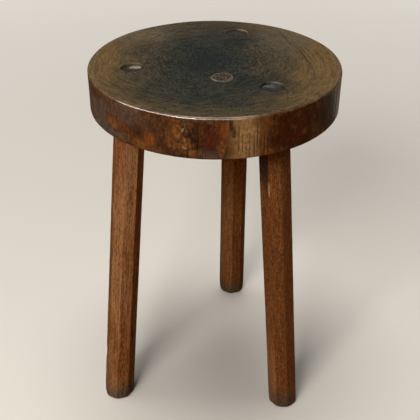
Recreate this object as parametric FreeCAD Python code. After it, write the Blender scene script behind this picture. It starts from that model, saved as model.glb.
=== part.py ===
import FreeCAD, Part

import math
import os
from collections import namedtuple

# A three-legged wooden stool: a thick round seat, octagonal legs that splay at compound angles, and
# round tenons that pass right through the seat and are spread in it by wedges. A round plug is let
# into the seat's top.
# Millimetres. +Z is up and the feet stand on z = 0. The stool is drawn about the seat's upright axis
# and then moved sideways, so that the origin lies under the middle of the box that holds it.

# Whole stool
STOOL_HEIGHT = 430.0

# Seat
SEAT_DIAMETER = 280.0
SEAT_THICKNESS = 46.0
SEAT_TOP_EDGE_ROUND = 3.0
SEAT_UNDER_CHAMFER = 1.5

# Leg below the seat, a regular octagon in every level section
LEG_SIDES = 8
LEG_EDGE_ROUND = 1.5

# Through tenon and its mortise
TENON_DIAMETER = 25.0
TENON_GLUE_GAP = 0.1
MORTISE_LIP_ROUND = 1.2

# Wedge, thick at the tenon's end and thin at its tip
WEDGE_LENGTH = 32.0
WEDGE_END_THICKNESS = 4.0
WEDGE_TIP_THICKNESS = 0.8

# Plug, placed from the seat's axis
PLUG_DIAMETER = 25.0
PLUG_LENGTH = 14.0
PLUG_GLUE_GAP = 0.1
PLUG_RECESS = 0.3
PLUG_CHAMFER = 0.5
PLUG_FROM_AXIS_X = 7.7
PLUG_FROM_AXIS_Y = -40.5

# How each leg is shaved and set in the seat. The tenon's middle on the seat's top is given by its
# bearing about the seat's axis, in degrees from +X, and its distance from that axis. Splay leans the
# leg outwards and skew leans it sideways, anticlockwise from above, in degrees. The facet bearing is
# the way one of its flats faces, and the leg's width across two opposite flats is given at each end.
# The recess is how far the tenon's end has sunk below the seat's top.
LegSetting = namedtuple(
    "LegSetting",
    "name bearing tenon_distance splay skew facet_bearing flats_at_seat flats_at_foot tenon_recess",
)

# Left leg
LEFT_BEARING = 189.7
LEFT_TENON_DISTANCE = 91.7
LEFT_SPLAY = 5.7
LEFT_SKEW = 7.1
LEFT_FACET_BEARING = 18.0
LEFT_FLATS_AT_SEAT = 33.5
LEFT_FLATS_AT_FOOT = 35.0
LEFT_TENON_RECESS = 2.5

# Right leg
RIGHT_BEARING = 312.1
RIGHT_TENON_DISTANCE = 89.0
RIGHT_SPLAY = 5.1
RIGHT_SKEW = 1.1
RIGHT_FACET_BEARING = -5.0
RIGHT_FLATS_AT_SEAT = 34.0
RIGHT_FLATS_AT_FOOT = 34.7
RIGHT_TENON_RECESS = 2.5

# Rear leg
REAR_BEARING = 73.8
REAR_TENON_DISTANCE = 97.5
REAR_SPLAY = 6.5
REAR_SKEW = 1.6
REAR_FACET_BEARING = 20.5
REAR_FLATS_AT_SEAT = 31.0
REAR_FLATS_AT_FOOT = 34.2
REAR_TENON_RECESS = 1.5

LEG_SETTINGS = (
    LegSetting(
        "left", LEFT_BEARING, LEFT_TENON_DISTANCE, LEFT_SPLAY, LEFT_SKEW,
        LEFT_FACET_BEARING, LEFT_FLATS_AT_SEAT, LEFT_FLATS_AT_FOOT, LEFT_TENON_RECESS,
    ),
    LegSetting(
        "right", RIGHT_BEARING, RIGHT_TENON_DISTANCE, RIGHT_SPLAY, RIGHT_SKEW,
        RIGHT_FACET_BEARING, RIGHT_FLATS_AT_SEAT, RIGHT_FLATS_AT_FOOT, RIGHT_TENON_RECESS,
    ),
    LegSetting(
        "rear", REAR_BEARING, REAR_TENON_DISTANCE, REAR_SPLAY, REAR_SKEW,
        REAR_FACET_BEARING, REAR_FLATS_AT_SEAT, REAR_FLATS_AT_FOOT, REAR_TENON_RECESS,
    ),
)

UP = FreeCAD.Vector(0, 0, 1)
SEAT_UNDERSIDE = STOOL_HEIGHT - SEAT_THICKNESS


def level_direction(bearing):
    """Level unit vector at a bearing in degrees."""
    angle = math.radians(bearing)
    return FreeCAD.Vector(math.cos(angle), math.sin(angle), 0)


def axis_point(setting, height):
    """Where the leg's axis passes a height."""
    outwards = level_direction(setting.bearing)
    sideways = UP.cross(outwards)
    drop = STOOL_HEIGHT - height
    lean_out = drop * math.tan(math.radians(setting.splay))
    lean_aside = drop * math.tan(math.radians(setting.skew))
    return outwards * (setting.tenon_distance + lean_out) + sideways * lean_aside + UP * height


def round_bar(setting, diameter, low, high):
    """Round bar along the leg's axis, cut level at both heights."""
    spare = diameter
    foot = axis_point(setting, low - spare)
    head = axis_point(setting, high + spare)
    along = head - foot
    bar = Part.makeCylinder(diameter / 2, along.Length, foot, along)
    reach = along.Length + diameter
    middle = axis_point(setting, low)
    corner = middle - FreeCAD.Vector(reach, reach, 0)
    slab = Part.makeBox(2 * reach, 2 * reach, high - low, corner)
    return bar.common(slab)


def octagon_corners(setting, height, across_flats):
    """Corners of the leg's level section at a height."""
    middle = axis_point(setting, height)
    side_turn = 360.0 / LEG_SIDES
    corner_reach = across_flats / 2 / math.cos(math.radians(side_turn / 2))
    first_corner = setting.facet_bearing + side_turn / 2
    return [
        middle + level_direction(first_corner + side_turn * side) * corner_reach
        for side in range(LEG_SIDES)
    ]


def flat_face(corners):
    """Flat face with straight edges between its corners."""
    return Part.Face(Part.makePolygon(corners + corners[:1]))


def make_shaft(setting):
    """Tapered octagonal shaft, its arrises and foot worn round, up to a level shoulder under the seat."""
    foot = octagon_corners(setting, 0, setting.flats_at_foot)
    shoulder = octagon_corners(setting, SEAT_UNDERSIDE, setting.flats_at_seat)
    faces = [flat_face(foot[::-1]), flat_face(shoulder)]
    for side in range(LEG_SIDES):
        after = (side + 1) % LEG_SIDES
        faces.append(flat_face([foot[side], foot[after], shoulder[after], shoulder[side]]))
    shaft = Part.Solid(Part.Shell(faces))
    worn_edges = [edge for edge in shaft.Edges if edge.BoundBox.ZMin < SEAT_UNDERSIDE / 2]
    return shaft.makeFillet(LEG_EDGE_ROUND, worn_edges)


def make_tenon(setting):
    """Round tenon, from the shoulder to a little below the seat's top."""
    return round_bar(setting, TENON_DIAMETER, SEAT_UNDERSIDE, STOOL_HEIGHT - setting.tenon_recess)


def make_kerf(setting):
    """Tapered slot down the tenon, square to the line from the seat's axis."""
    outwards = level_direction(setting.bearing)
    sideways = UP.cross(outwards)
    end_height = STOOL_HEIGHT - setting.tenon_recess
    end = axis_point(setting, end_height)
    tip = axis_point(setting, end_height - WEDGE_LENGTH)
    half_end = outwards * (WEDGE_END_THICKNESS / 2)
    half_tip = outwards * (WEDGE_TIP_THICKNESS / 2)
    to_side = sideways * TENON_DIAMETER
    corners = [end - half_end, end + half_end, tip + half_tip, tip - half_tip, end - half_end]
    outline = Part.makePolygon([corner - to_side for corner in corners])
    return Part.Face(outline).extrude(to_side * 2)


def make_leg(setting):
    """Leg in one piece: octagonal shaft and kerfed round tenon."""
    tenon = make_tenon(setting).cut(make_kerf(setting))
    return make_shaft(setting).fuse(tenon).removeSplitter()


def make_wedge(setting):
    """Wedge that fills the kerf across the whole tenon."""
    return make_kerf(setting).common(make_tenon(setting))


def height_of(shape):
    """Height of a face's or edge's middle."""
    return shape.CenterOfMass.z


def make_disc():
    """Round seat blank, its top edge worn round and its lower edge chamfered."""
    disc = Part.makeCylinder(SEAT_DIAMETER / 2, SEAT_THICKNESS, UP * SEAT_UNDERSIDE)
    disc = disc.makeFillet(SEAT_TOP_EDGE_ROUND, [max(disc.Edges, key=height_of)])
    return disc.makeChamfer(SEAT_UNDER_CHAMFER, [min(disc.Edges, key=height_of)])


def mouth_edges(seat):
    """Edges of the holes in the seat's flat top."""
    flat_faces = [face for face in seat.Faces if isinstance(face.Surface, Part.Plane)]
    top_face = max(flat_faces, key=height_of)
    mouths = [wire for wire in top_face.Wires if not wire.isSame(top_face.OuterWire)]
    return [edge for wire in mouths for edge in wire.Edges]


def make_seat():
    """Disc with slanted mortises, whose mouths are worn round, and the plug's blind hole."""
    seat = make_disc()
    mortise_diameter = TENON_DIAMETER + 2 * TENON_GLUE_GAP
    for setting in LEG_SETTINGS:
        low = SEAT_UNDERSIDE - SEAT_THICKNESS
        high = STOOL_HEIGHT + SEAT_THICKNESS
        seat = seat.cut(round_bar(setting, mortise_diameter, low, high))
    seat = seat.makeFillet(MORTISE_LIP_ROUND, mouth_edges(seat))
    hole_floor = plug_base()
    hole_depth = PLUG_LENGTH + PLUG_RECESS
    return seat.cut(Part.makeCylinder(PLUG_DIAMETER / 2 + PLUG_GLUE_GAP, hole_depth, hole_floor))


def plug_base():
    """Middle of the plug's lower face."""
    height = STOOL_HEIGHT - PLUG_RECESS - PLUG_LENGTH
    return FreeCAD.Vector(PLUG_FROM_AXIS_X, PLUG_FROM_AXIS_Y, height)


def make_plug():
    """Round plug with its upper edge chamfered."""
    plug = Part.makeCylinder(PLUG_DIAMETER / 2, PLUG_LENGTH, plug_base())
    return plug.makeChamfer(PLUG_CHAMFER, [max(plug.Edges, key=height_of)])


def make_pieces():
    """Every piece by name, drawn about the seat's axis."""
    pieces = {"seat": make_seat(), "seat_plug": make_plug()}
    for setting in LEG_SETTINGS:
        pieces[setting.name + "_leg"] = make_leg(setting)
        pieces[setting.name + "_wedge"] = make_wedge(setting)
    return pieces


def box_middle(shapes):
    """Level offset from the seat's axis to the middle of the box round the whole stool."""
    middle = Part.makeCompound(shapes).optimalBoundingBox(False, False).Center
    return FreeCAD.Vector(middle.x, middle.y, 0)


pieces = make_pieces()
to_origin = box_middle(list(pieces.values())) * -1
os.makedirs("parts", exist_ok=True)
for name, shape in pieces.items():
    shape.translated(to_origin).exportStep("parts/" + name + ".step")
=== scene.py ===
"""Dresses a three-legged stool: a thick round seat, wedged octagonal legs and a plug, in old dark wood."""

import math
import random
from collections import namedtuple

import bmesh
import bpy
import numpy as np
from bpy.props import FloatProperty, FloatVectorProperty, PointerProperty
from mathutils import Color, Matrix, Quaternion, Vector, noise
from mathutils.geometry import delaunay_2d_cdt


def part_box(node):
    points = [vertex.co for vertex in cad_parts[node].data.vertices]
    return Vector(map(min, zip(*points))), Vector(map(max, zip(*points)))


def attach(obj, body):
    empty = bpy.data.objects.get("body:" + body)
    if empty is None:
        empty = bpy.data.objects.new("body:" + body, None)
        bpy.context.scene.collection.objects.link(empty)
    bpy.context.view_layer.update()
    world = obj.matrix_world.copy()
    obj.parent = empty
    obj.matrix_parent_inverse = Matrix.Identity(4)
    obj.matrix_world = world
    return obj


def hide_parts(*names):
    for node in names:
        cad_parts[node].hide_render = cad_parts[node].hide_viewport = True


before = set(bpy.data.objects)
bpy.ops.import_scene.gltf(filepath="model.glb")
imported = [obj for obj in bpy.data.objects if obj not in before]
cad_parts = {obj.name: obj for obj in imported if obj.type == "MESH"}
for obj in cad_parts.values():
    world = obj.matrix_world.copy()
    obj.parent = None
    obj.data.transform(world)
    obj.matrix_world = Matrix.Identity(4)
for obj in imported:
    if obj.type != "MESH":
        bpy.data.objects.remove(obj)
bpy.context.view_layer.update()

bl_info = {
    "name": "Three-legged stool",
    "version": (1, 0, 0),
    "blender": (4, 5, 0),
    "location": "3D View > Sidebar > Stool",
    "description": "Makes an old stool's worn seat, its octagonal legs, their wedges and a plug",
    "category": "Add Mesh",
}

MM = 0.001
QUARTER_TURN = math.pi / 2
BODY = "root"

# What is read from the frame
LEG_NAMES = ("left", "right", "rear")
LEG_SIDES = 8
SIDE_TURN = 2 * math.pi / LEG_SIDES
LEVEL_SLACK = 0.02 * MM
FOOT_ZONE = 3 * MM

Seat = namedtuple("Seat", "axis radius top underside")
Leg = namedtuple("Leg", "name foot head facet_bearing width_at_foot width_at_seat")


def node_points(node):
    """Corners of a frame node's mesh, one row each."""
    return np.array([vertex.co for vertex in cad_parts[node].data.vertices])


def box_middle(points):
    """Middle of the box round some points."""
    return Vector((points.min(0) + points.max(0)) / 2)


def read_seat():
    """Where the seat is and how large."""
    low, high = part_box("seat")
    middle = (low + high) / 2
    return Seat(middle.to_2d(), (high.x - low.x) / 2, high.z, low.z)


def width_across(points, facet_bearing):
    """Mean width across opposite flats of an octagon's points."""
    bearings = facet_bearing + np.arange(LEG_SIDES // 2) * SIDE_TURN
    along = points[:, :2] @ np.array([np.cos(bearings), np.sin(bearings)])
    return float(np.ptp(along, axis=0).mean())


def read_leg(name, seat):
    """Where a leg stands, where its tenon ends, and how its flats are turned and spaced."""
    points = node_points(name + "_leg")
    heights = points[:, 2]
    foot_corners = points[heights < heights.min() + LEVEL_SLACK]
    foot = box_middle(foot_corners)
    head = box_middle(points[heights > heights.max() - LEVEL_SLACK])
    offsets = foot_corners[:, :2] - np.array(foot.to_2d())
    corner_bearings = np.arctan2(offsets[:, 1], offsets[:, 0])
    corner = np.angle(np.exp(1j * LEG_SIDES * corner_bearings).sum()) / LEG_SIDES
    facet_bearing = float(corner + SIDE_TURN / 2)
    near_foot = points[heights < heights.min() + FOOT_ZONE]
    shoulder = points[abs(heights - seat.underside) < LEVEL_SLACK]
    return Leg(
        name, foot, head, facet_bearing,
        width_across(near_foot, facet_bearing), width_across(shoulder, facet_bearing),
    )


SEAT = read_seat()
LEGS = [read_leg(name, SEAT) for name in LEG_NAMES]
TENON_RADIUS = 12.5 * MM
PLUG_LOW, PLUG_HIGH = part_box("seat_plug")
WEDGE_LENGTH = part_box("left_wedge")[1].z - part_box("left_wedge")[0].z


SCREEN_WHITE = 255


def colour(*screen_colour):
    """Scene colour from the red, green and blue, up to white, that a screen shows."""
    return tuple(Color([value / SCREEN_WHITE for value in screen_colour]).from_srgb_to_scene_linear())


def length_setting(label, text, default):
    """Length that a user may set."""
    return FloatProperty(name=label, description=text, default=default, unit="LENGTH")


def colour_setting(label, text, *screen_colour):
    """Colour that a user may set."""
    return FloatVectorProperty(
        name=label, description=text, default=colour(*screen_colour), subtype="COLOR", min=0, max=1
    )


class SeatSettings(bpy.types.PropertyGroup):
    """Sizes of the seat's wear, and the colours of its wood."""

    rim_round: length_setting("Rim round", "Radius that the top edge is worn to", 3.0 * MM)
    rim_change: length_setting("Rim change", "How much that radius varies round the seat", 1.0 * MM)
    lower_round: length_setting("Lower round", "Radius that the lower edge is worn to", 1.8 * MM)
    mouth_round: length_setting("Mouth round", "Radius that the tenon holes' mouths are worn to", 1.6 * MM)
    unevenness: length_setting("Unevenness", "How far the surfaces depart from flat and round", 0.35 * MM)
    rim_droop: length_setting("Rim droop", "How far the top falls towards its rim", 0.5 * MM)
    heart: colour_setting("Heart", "Blackened middle of the top", 28, 33, 33)
    umber: colour_setting("Umber", "Top round the heart", 42, 43, 37)
    brown: colour_setting("Brown", "Top between the heart and the rim", 66, 58, 42)
    # This grey is a painted reflection, the sheen of polished wood at a glancing view, laid on the back of
    # the top and on the right tenon's mouth
    painted_sheen: colour_setting("Painted sheen", "Greyed wood at the back of the top", 96, 92, 82)
    gold: colour_setting("Gold", "Worn top near the rim", 104, 82, 50)
    edge_brown: colour_setting("Edge brown", "Main colour of the edge", 82, 48, 25)
    edge_black: colour_setting("Edge black", "Darkest marks on the edge", 34, 18, 10)
    edge_dark: colour_setting("Edge dark", "Dark red stain on the edge", 68, 28, 5)
    edge_red: colour_setting("Edge red", "Red stain on the edge", 92, 34, 11)
    edge_orange: colour_setting("Edge orange", "Orange wood on the edge", 150, 80, 28)
    edge_amber: colour_setting("Edge amber", "Amber wood on the edge", 138, 87, 38)
    edge_tan: colour_setting("Edge tan", "Pale patch with drying cracks", 163, 127, 85)
    # Slate and plum on the left of the edge are painted sheen, the grey reflection of the polished edge
    # there; plum low on the front is stain
    edge_plum_and_sheen: colour_setting("Edge plum and sheen", "Purplish bloom on the edge", 92, 71, 61)
    edge_slate_sheen: colour_setting("Edge slate sheen", "Grey bloom on the edge", 90, 77, 69)
    # This colour is also used for the painted highlights on the tenons' mouths
    worn: colour_setting("Worn", "Bare wood on the worn rim", 136, 112, 82)
    chip: colour_setting("Chip", "Fresh chips in the edge", 206, 190, 164)


class LegSettings(bpy.types.PropertyGroup):
    """Sizes of the legs' and wedges' wear, and the colours of their wood."""

    foot_round: length_setting("Foot round", "Radius that the foot's edge is worn to", 3.0 * MM)
    end_round: length_setting("End round", "Radius that the tenon's end is worn to", 0.8 * MM)
    unevenness: length_setting("Unevenness", "How far the flats depart from true", 0.3 * MM)
    arris_wear: length_setting("Arris wear", "How far the arrises are worn back", 0.2 * MM)
    chip_depth: length_setting("Chip depth", "Depth of chips in the arrises", 0.9 * MM)
    kerf_width: length_setting("Kerf width", "Width of the tenon's kerf at its end", 4.0 * MM)
    tip_width: length_setting("Tip width", "Thickness of the wedge's tip", 0.8 * MM)
    dark: colour_setting("Dark", "Dark fibres", 104, 60, 27)
    brown: colour_setting("Brown", "Main colour of the legs", 152, 97, 49)
    ruddy: colour_setting("Ruddy", "Reddish patches", 152, 84, 40)
    light: colour_setting("Light", "Light fibres", 180, 121, 67)
    fleck: colour_setting("Fleck", "Open pores", 62, 34, 14)
    # This colour is partly wood faded by daylight and partly painted light on the flats turned to the light
    faded_and_lit: colour_setting("Faded and lit", "Wood that daylight has faded", 166, 120, 78)
    dust: colour_setting("Dust", "Dust in the grain", 128, 102, 80)
    # This colour is a painted shadow, the shade that the seat casts on the upper flats of the legs
    painted_shadow: colour_setting("Painted shadow", "Dirt in the lee of the seat", 44, 24, 10)
    foot_grey: colour_setting("Foot grey", "Dirt on the feet", 88, 75, 66)
    bare: colour_setting("Bare", "Fresh wood in chips", 184, 144, 98)
    end_grain: colour_setting("End grain", "End of the tenon", 46, 43, 37)
    # The dark end colour is dirt in the end grain's blotches and also a painted shade at the left tenon's
    # end; the pale end is a painted highlight and the cool end a painted grey sheen
    dark_end_and_shade: colour_setting("Dark end and shade", "Dirt on a tenon's end", 24, 23, 21)
    painted_end_highlight: colour_setting("Painted end highlight", "Bare wood on a tenon's end", 168, 158, 138)
    painted_end_sheen: colour_setting("Painted end sheen", "Waxed bloom on a tenon's end", 88, 96, 94)
    wedge: colour_setting("Wedge", "End of the wedge", 50, 45, 38)


class PlugSettings(bpy.types.PropertyGroup):
    """Sizes and colours of the plug."""

    edge_round: length_setting("Edge round", "Radius that the plug's edge is worn to", 1.0 * MM)
    face: colour_setting("Face", "End grain of the plug", 52, 38, 29)
    pore: colour_setting("Pore", "Dark pores of the plug", 24, 20, 16)
    fleck: colour_setting("Fleck", "Pale flecks in the plug", 104, 88, 63)
    ring: colour_setting("Ring", "Worn edge of the plug", 108, 96, 73)


class StageSettings(bpy.types.PropertyGroup):
    """Camera, light and floor."""

    camera_place: FloatVectorProperty(
        name="Camera", description="Where the camera stands", subtype="TRANSLATION", unit="LENGTH",
        default=(-3.375 * MM, -815.51 * MM, 754.17 * MM),
    )
    camera_target: FloatVectorProperty(
        name="Target", description="What the camera looks at", subtype="TRANSLATION", unit="LENGTH",
        default=(-3.375 * MM, -11.104 * MM, 235.37 * MM),
    )
    camera_roll: FloatProperty(
        name="Roll", description="Turn of the camera about its view", default=math.radians(0.24),
        subtype="ANGLE",
    )
    lens: FloatProperty(name="Lens", description="Focal length in millimetres", default=66.0)
    floor: colour_setting("Floor", "Plain pale floor", 236, 233, 228)
    bounce: colour_setting("Bounce", "Light that the floor throws back", 156, 108, 36)
    mirrored: colour_setting("Mirrored", "Floor as polished wood mirrors it", 98, 76, 44)


# Node trees

# Value that noise varies about, and the numbers of a Mix node's sockets for colours
NOISE_MEAN = 0.5
MIX_COLOURS = (6, 7)
MIX_RESULT = 2

# Noise with so many bumps to the metre, which a height scale below 1 draws out upwards, and a mask that
# rises from 0 to 1 between two of its values
Grain = namedtuple("Grain", "scale detail roughness height_scale", defaults=(2.0, 0.5, 1.0))
Mottle = namedtuple("Mottle", "grain low high")


class Flow:
    """A value in a node tree. Arithmetic on it adds the nodes that work it out."""

    def __init__(self, socket):
        self.socket = socket

    @property
    def tree(self):
        """Tree that the value flows through."""
        return self.socket.id_data

    def __add__(self, other):
        return maths(self.tree, "ADD", self, other)

    def __sub__(self, other):
        return maths(self.tree, "SUBTRACT", self, other)

    def __rsub__(self, other):
        return maths(self.tree, "SUBTRACT", other, self)

    def __mul__(self, other):
        return maths(self.tree, "MULTIPLY", self, other)

    def __truediv__(self, other):
        return maths(self.tree, "DIVIDE", self, other)

    def __pow__(self, other):
        return maths(self.tree, "POWER", self, other)

    __radd__ = __add__
    __rmul__ = __mul__

    def of(self, operation, *others):
        """Another Math operation on the value."""
        return maths(self.tree, operation, self, *others)

    def step(self, low, high):
        """Smooth step from 0 at low to 1 at high."""
        inputs = {"Value": self, "From Min": low, "From Max": high}
        node = add_node(self.tree, "ShaderNodeMapRange", inputs, interpolation_type="SMOOTHSTEP")
        return Flow(node.outputs[0])


def feed(socket, value):
    """Joins a value to an input socket, or sets it there."""
    if isinstance(value, Flow):
        socket.id_data.links.new(value.socket, socket)
    else:
        socket.default_value = value


def add_node(tree, kind, inputs=None, **settings):
    """New node with its settings, and its inputs by name or number."""
    node = tree.nodes.new(kind)
    for name, value in settings.items():
        setattr(node, name, value)
    for key, value in (inputs or {}).items():
        feed(node.inputs[key], value)
    return node


def maths(tree, operation, *values):
    """Result of one Math node."""
    node = add_node(tree, "ShaderNodeMath", dict(enumerate(values)), operation=operation)
    return Flow(node.outputs[0])


def vector(tree, x, y, z):
    """Vector from three values."""
    return Flow(add_node(tree, "ShaderNodeCombineXYZ", {"X": x, "Y": y, "Z": z}).outputs[0])


def parts(flow):
    """The three values of a vector."""
    node = add_node(flow.tree, "ShaderNodeSeparateXYZ", {"Vector": flow})
    return [Flow(socket) for socket in node.outputs]


def vector_maths(flow, operation, *others, output="Vector"):
    """Result of one Vector Math node."""
    inputs = dict(enumerate((flow, *others)))
    return Flow(add_node(flow.tree, "ShaderNodeVectorMath", inputs, operation=operation).outputs[output])


def level_length(x, y):
    """Length of a level vector."""
    return (x * x + y * y).of("SQRT")


def cloud(place, grain):
    """Soft noise at a place."""
    if grain.height_scale != 1.0:
        x, y, z = parts(place)
        place = vector(place.tree, x, y, z * grain.height_scale)
    inputs = {"Vector": place, "Scale": grain.scale, "Detail": grain.detail, "Roughness": grain.roughness}
    return Flow(add_node(place.tree, "ShaderNodeTexNoise", inputs).outputs[0])


def mottle(place, kind):
    """Mask of soft spots at a place."""
    return cloud(place, kind.grain).step(kind.low, kind.high)


def blend(fields, weights):
    """Sum of several kinds of noise about zero, each by its weight."""
    first, *others = ((fields[name] - NOISE_MEAN) * weight for name, weight in weights.items())
    return sum(others, first)


def mix(factor, first, second):
    """Colour between two colours."""
    node = add_node(factor.tree, "ShaderNodeMix", {0: factor}, data_type="RGBA")
    for number, value in zip(MIX_COLOURS, (first, second)):
        feed(node.inputs[number], value if isinstance(value, Flow) else (*value, 1.0))
    return Flow(node.outputs[MIX_RESULT])


def paint(base, settings, *coats):
    """Colour with coats laid over it in turn, each by its share and its colour's name."""
    for share, name in coats:
        base = mix(share, base, getattr(settings, name))
    return base


def shade(flow_colour, factor):
    """Colour made lighter or darker by a factor."""
    return vector_maths(flow_colour, "MULTIPLY", vector(factor.tree, factor, factor, factor))


def ramp(flow, settings, stops):
    """Colour that runs through some of a group's colours, each at its place."""
    node = add_node(flow.tree, "ShaderNodeValToRGB", {"Fac": flow})
    elements = node.color_ramp.elements
    while len(elements) < len(stops):
        elements.new(1.0)
    for element, (name, place) in zip(elements, stops.items()):
        element.position = place
        element.color = (*getattr(settings, name), 1.0)
    return Flow(node.outputs[0])


def attribute(tree, name, output="Fac"):
    """Value stored on the mesh."""
    return Flow(add_node(tree, "ShaderNodeAttribute", attribute_name=name).outputs[output])


def from_place(tree, place=(0.0, 0.0, 0.0)):
    """Object coordinates counted from a place."""
    coordinates = Flow(tree.nodes.new("ShaderNodeTexCoord").outputs["Object"])
    mapping = add_node(tree, "ShaderNodeMapping", {"Vector": coordinates})
    mapping.inputs["Location"].default_value = [-value for value in place]
    return Flow(mapping.outputs[0])


def new_finish(name):
    """New material: itself, its node tree and its shader."""
    finish = bpy.data.materials.new(name)
    finish.use_nodes = True
    return finish, finish.node_tree, finish.node_tree.nodes["Principled BSDF"]


def dress(shader, base, roughness, specular, relief, depth):
    """Joins a colour, a roughness, a shine and a fine relief so many metres deep to a shader."""
    bump = add_node(relief.tree, "ShaderNodeBump", {"Height": relief, "Distance": depth})
    values = {
        "Base Color": base, "Roughness": roughness, "Specular IOR Level": specular,
        "Normal": Flow(bump.outputs[0]),
    }
    for name, value in values.items():
        feed(shader.inputs[name], value)


# Seat wood

SEAT_MARKS = ("side", "rim", "lip", "crack", "scratch")
Patch = namedtuple("Patch", "stain middle reach strength")


def edge_patch(stain, bearing, drop, half_width, half_height, strength):
    """Patch on the seat's edge, by bearing in degrees and by drop below the top in millimetres."""
    turn = math.radians(bearing)
    middle = (SEAT.radius * math.cos(turn), SEAT.radius * math.sin(turn), -drop * MM)
    return Patch(stain, middle, (half_width * MM, half_width * MM, half_height * MM), strength)


def top_patch(stain, x, y, half_x, half_y, strength):
    """Patch on the seat's top, in millimetres from its middle."""
    return Patch(stain, (x * MM, y * MM, 0.0), (half_x * MM, half_y * MM, SEAT.radius), strength)


TOP_PATCHES = (
    top_patch("umber", 0, -76, 98, 52, 0.80),
    top_patch("umber", 20, 84, 44, 40, 0.50),
    top_patch("heart", -8, 4, 30, 46, 0.80),
    top_patch("heart", 30, 62, 26, 20, 0.60),
    top_patch("heart", 50, -50, 34, 24, 0.55),
    top_patch("brown", 62, 40, 26, 36, 0.50),
    top_patch("gold", 124, 10, 22, 76, 0.65),
    top_patch("gold", 94, -34, 12, 20, 0.70),
    top_patch("gold", -122, 10, 18, 66, 0.60),
    top_patch("brown", -86, -84, 34, 20, 0.50),
    top_patch("brown", 10, -128, 80, 10, 0.60),
    top_patch("gold", -84, 88, 30, 26, 0.45),
    # These two grey patches at the back are a painted reflection, the sheen of the polished top at a
    # glancing view
    top_patch("painted_sheen", -92, 92, 50, 46, 0.35),
    top_patch("painted_sheen", 82, 76, 40, 56, 0.30),
)
EDGE_PATCHES = (
    edge_patch("edge_brown", 226, 22, 66, 44, 0.80),
    # The slate and plum patches on the left are painted sheen, a grey reflection on the polished edge
    edge_patch("edge_slate_sheen", 211, 28, 34, 36, 0.95),
    edge_patch("edge_dark", 206, 7, 32, 10, 0.75),
    edge_patch("edge_plum_and_sheen", 229, 12, 34, 15, 0.95),
    edge_patch("edge_slate_sheen", 220, 39, 24, 8, 0.75),
    edge_patch("edge_amber", 222, 27, 20, 11, 0.75),
    edge_patch("edge_black", 236, 24, 7, 8, 0.35),
    edge_patch("edge_amber", 238, 40, 14, 7, 0.60),
    edge_patch("edge_orange", 242.5, 31, 8, 8, 0.60),
    edge_patch("edge_amber", 254.5, 17, 9, 15, 0.90),
    edge_patch("edge_black", 255, 40, 12, 7, 0.40),
    edge_patch("edge_dark", 264, 22, 14, 20, 0.75),
    edge_patch("edge_black", 261, 25, 6, 13, 0.70),
    edge_patch("edge_red", 269, 22, 10, 13, 0.60),
    edge_patch("edge_plum_and_sheen", 268, 41, 16, 6, 0.70),
    edge_patch("edge_orange", 273.8, 14, 5.5, 11, 0.65),
    edge_patch("edge_tan", 282.2, 24, 17, 44, 0.95),
    edge_patch("edge_amber", 290.5, 24, 6, 36, 0.50),
    edge_patch("edge_black", 276.4, 9, 2.2, 7, 0.80),
    edge_patch("edge_black", 277.6, 16, 2.6, 7, 0.70),
    edge_patch("edge_dark", 299, 20, 15, 36, 0.90),
    edge_patch("edge_dark", 309, 22, 26, 36, 0.80),
    edge_patch("edge_red", 306, 32, 12, 10, 0.50),
    edge_patch("edge_amber", 310.5, 30, 4, 4, 0.50),
    edge_patch("edge_black", 324, 20, 24, 34, 0.50),
    edge_patch("edge_black", 20, 20, 30, 26, 0.50),
    edge_patch("edge_amber", 60, 24, 40, 26, 0.60),
    edge_patch("edge_tan", 100, 22, 22, 36, 0.50),
    edge_patch("edge_red", 140, 26, 36, 24, 0.70),
)
EDGE_KNOTS = (
    edge_patch("edge_black", 222, 28, 13, 9, 0.50),
    edge_patch("edge_black", 254.8, 17, 7, 12, 0.55),
)
CHIPPED_PATCHES = (
    edge_patch("chip", 205, 26, 34, 24, 0.22),
    edge_patch("chip", 224, 40, 22, 8, 0.22),
    edge_patch("chip", 257.0, 14, 5, 13, 0.60),
    edge_patch("chip", 258.8, 35, 6, 10, 0.60),
)

# Painted highlights on the mouths of the tenons' holes: pale arcs where the lips catch the light, and grey
# glints on the right one
LIP_HIGHLIGHTS = (
    top_patch("worn", 37, 104, 9, 9, 0.75),
    top_patch("worn", -103.5, -11, 2.5, 8, 0.75),
    top_patch("painted_sheen", 66, -55, 9, 4, 0.60),
    top_patch("painted_sheen", 68, -78, 6, 3, 0.60),
)

# Part of the edge that is rubbed to a streaky shine, which has no stain of its own
POLISHED_PATCH = edge_patch(None, 341, 22, 32, 80, 1.0)

# Where a patch begins to thin out and where it ends, in shares of its reach
STAIN_BORDER = (0.4, 1.2)
LIP_HIGHLIGHT_BORDER = (0.6, 1.1)
POLISH_BORDER = (0.5, 1.1)

# Growth rings of the top about their pith, each kind with how far its noise shifts round the pith
PITH = (-6 * MM, 2 * MM)
PITH_CORE = 0.1 * MM
RINGS = {"fine": (Grain(480, 4.0, 0.7), 20 * MM), "broad": (Grain(190, 4.0, 0.6), 16 * MM)}
RING_WANDER, WANDER_REACH = Grain(12), 14 * MM
TOP_BLOTCHES = Grain(28)
TOP_SPECKS = Grain(420, 4.0, 0.7)

# Black heart of the top, the colours outwards from it, and how much of each kind of figure shows
HEART_MIDDLE, HEART_REACH = (-9 * MM, 2 * MM), (68 * MM, 114 * MM)
HEART_RAGGED = {"blotches": 0.7, "broad": 0.3, "fine": 0.2}
TOP_STOPS, TOP_SPREAD = {"heart": 0.06, "umber": 0.26, "brown": 0.50, "gold": 0.90}, 0.45
TOP_RAGGED = {"blotches": 1.2, "broad": 0.6}
TOP_DETAIL = {"fine": 4.0, "broad": 0.8, "specks": 4.2}
HEART_CONTRAST, CONTRAST_LOSS, CONTRAST_FADE = 1.7, 1.1, (0.2, 1.6)
DARKEST = 0.25

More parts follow.
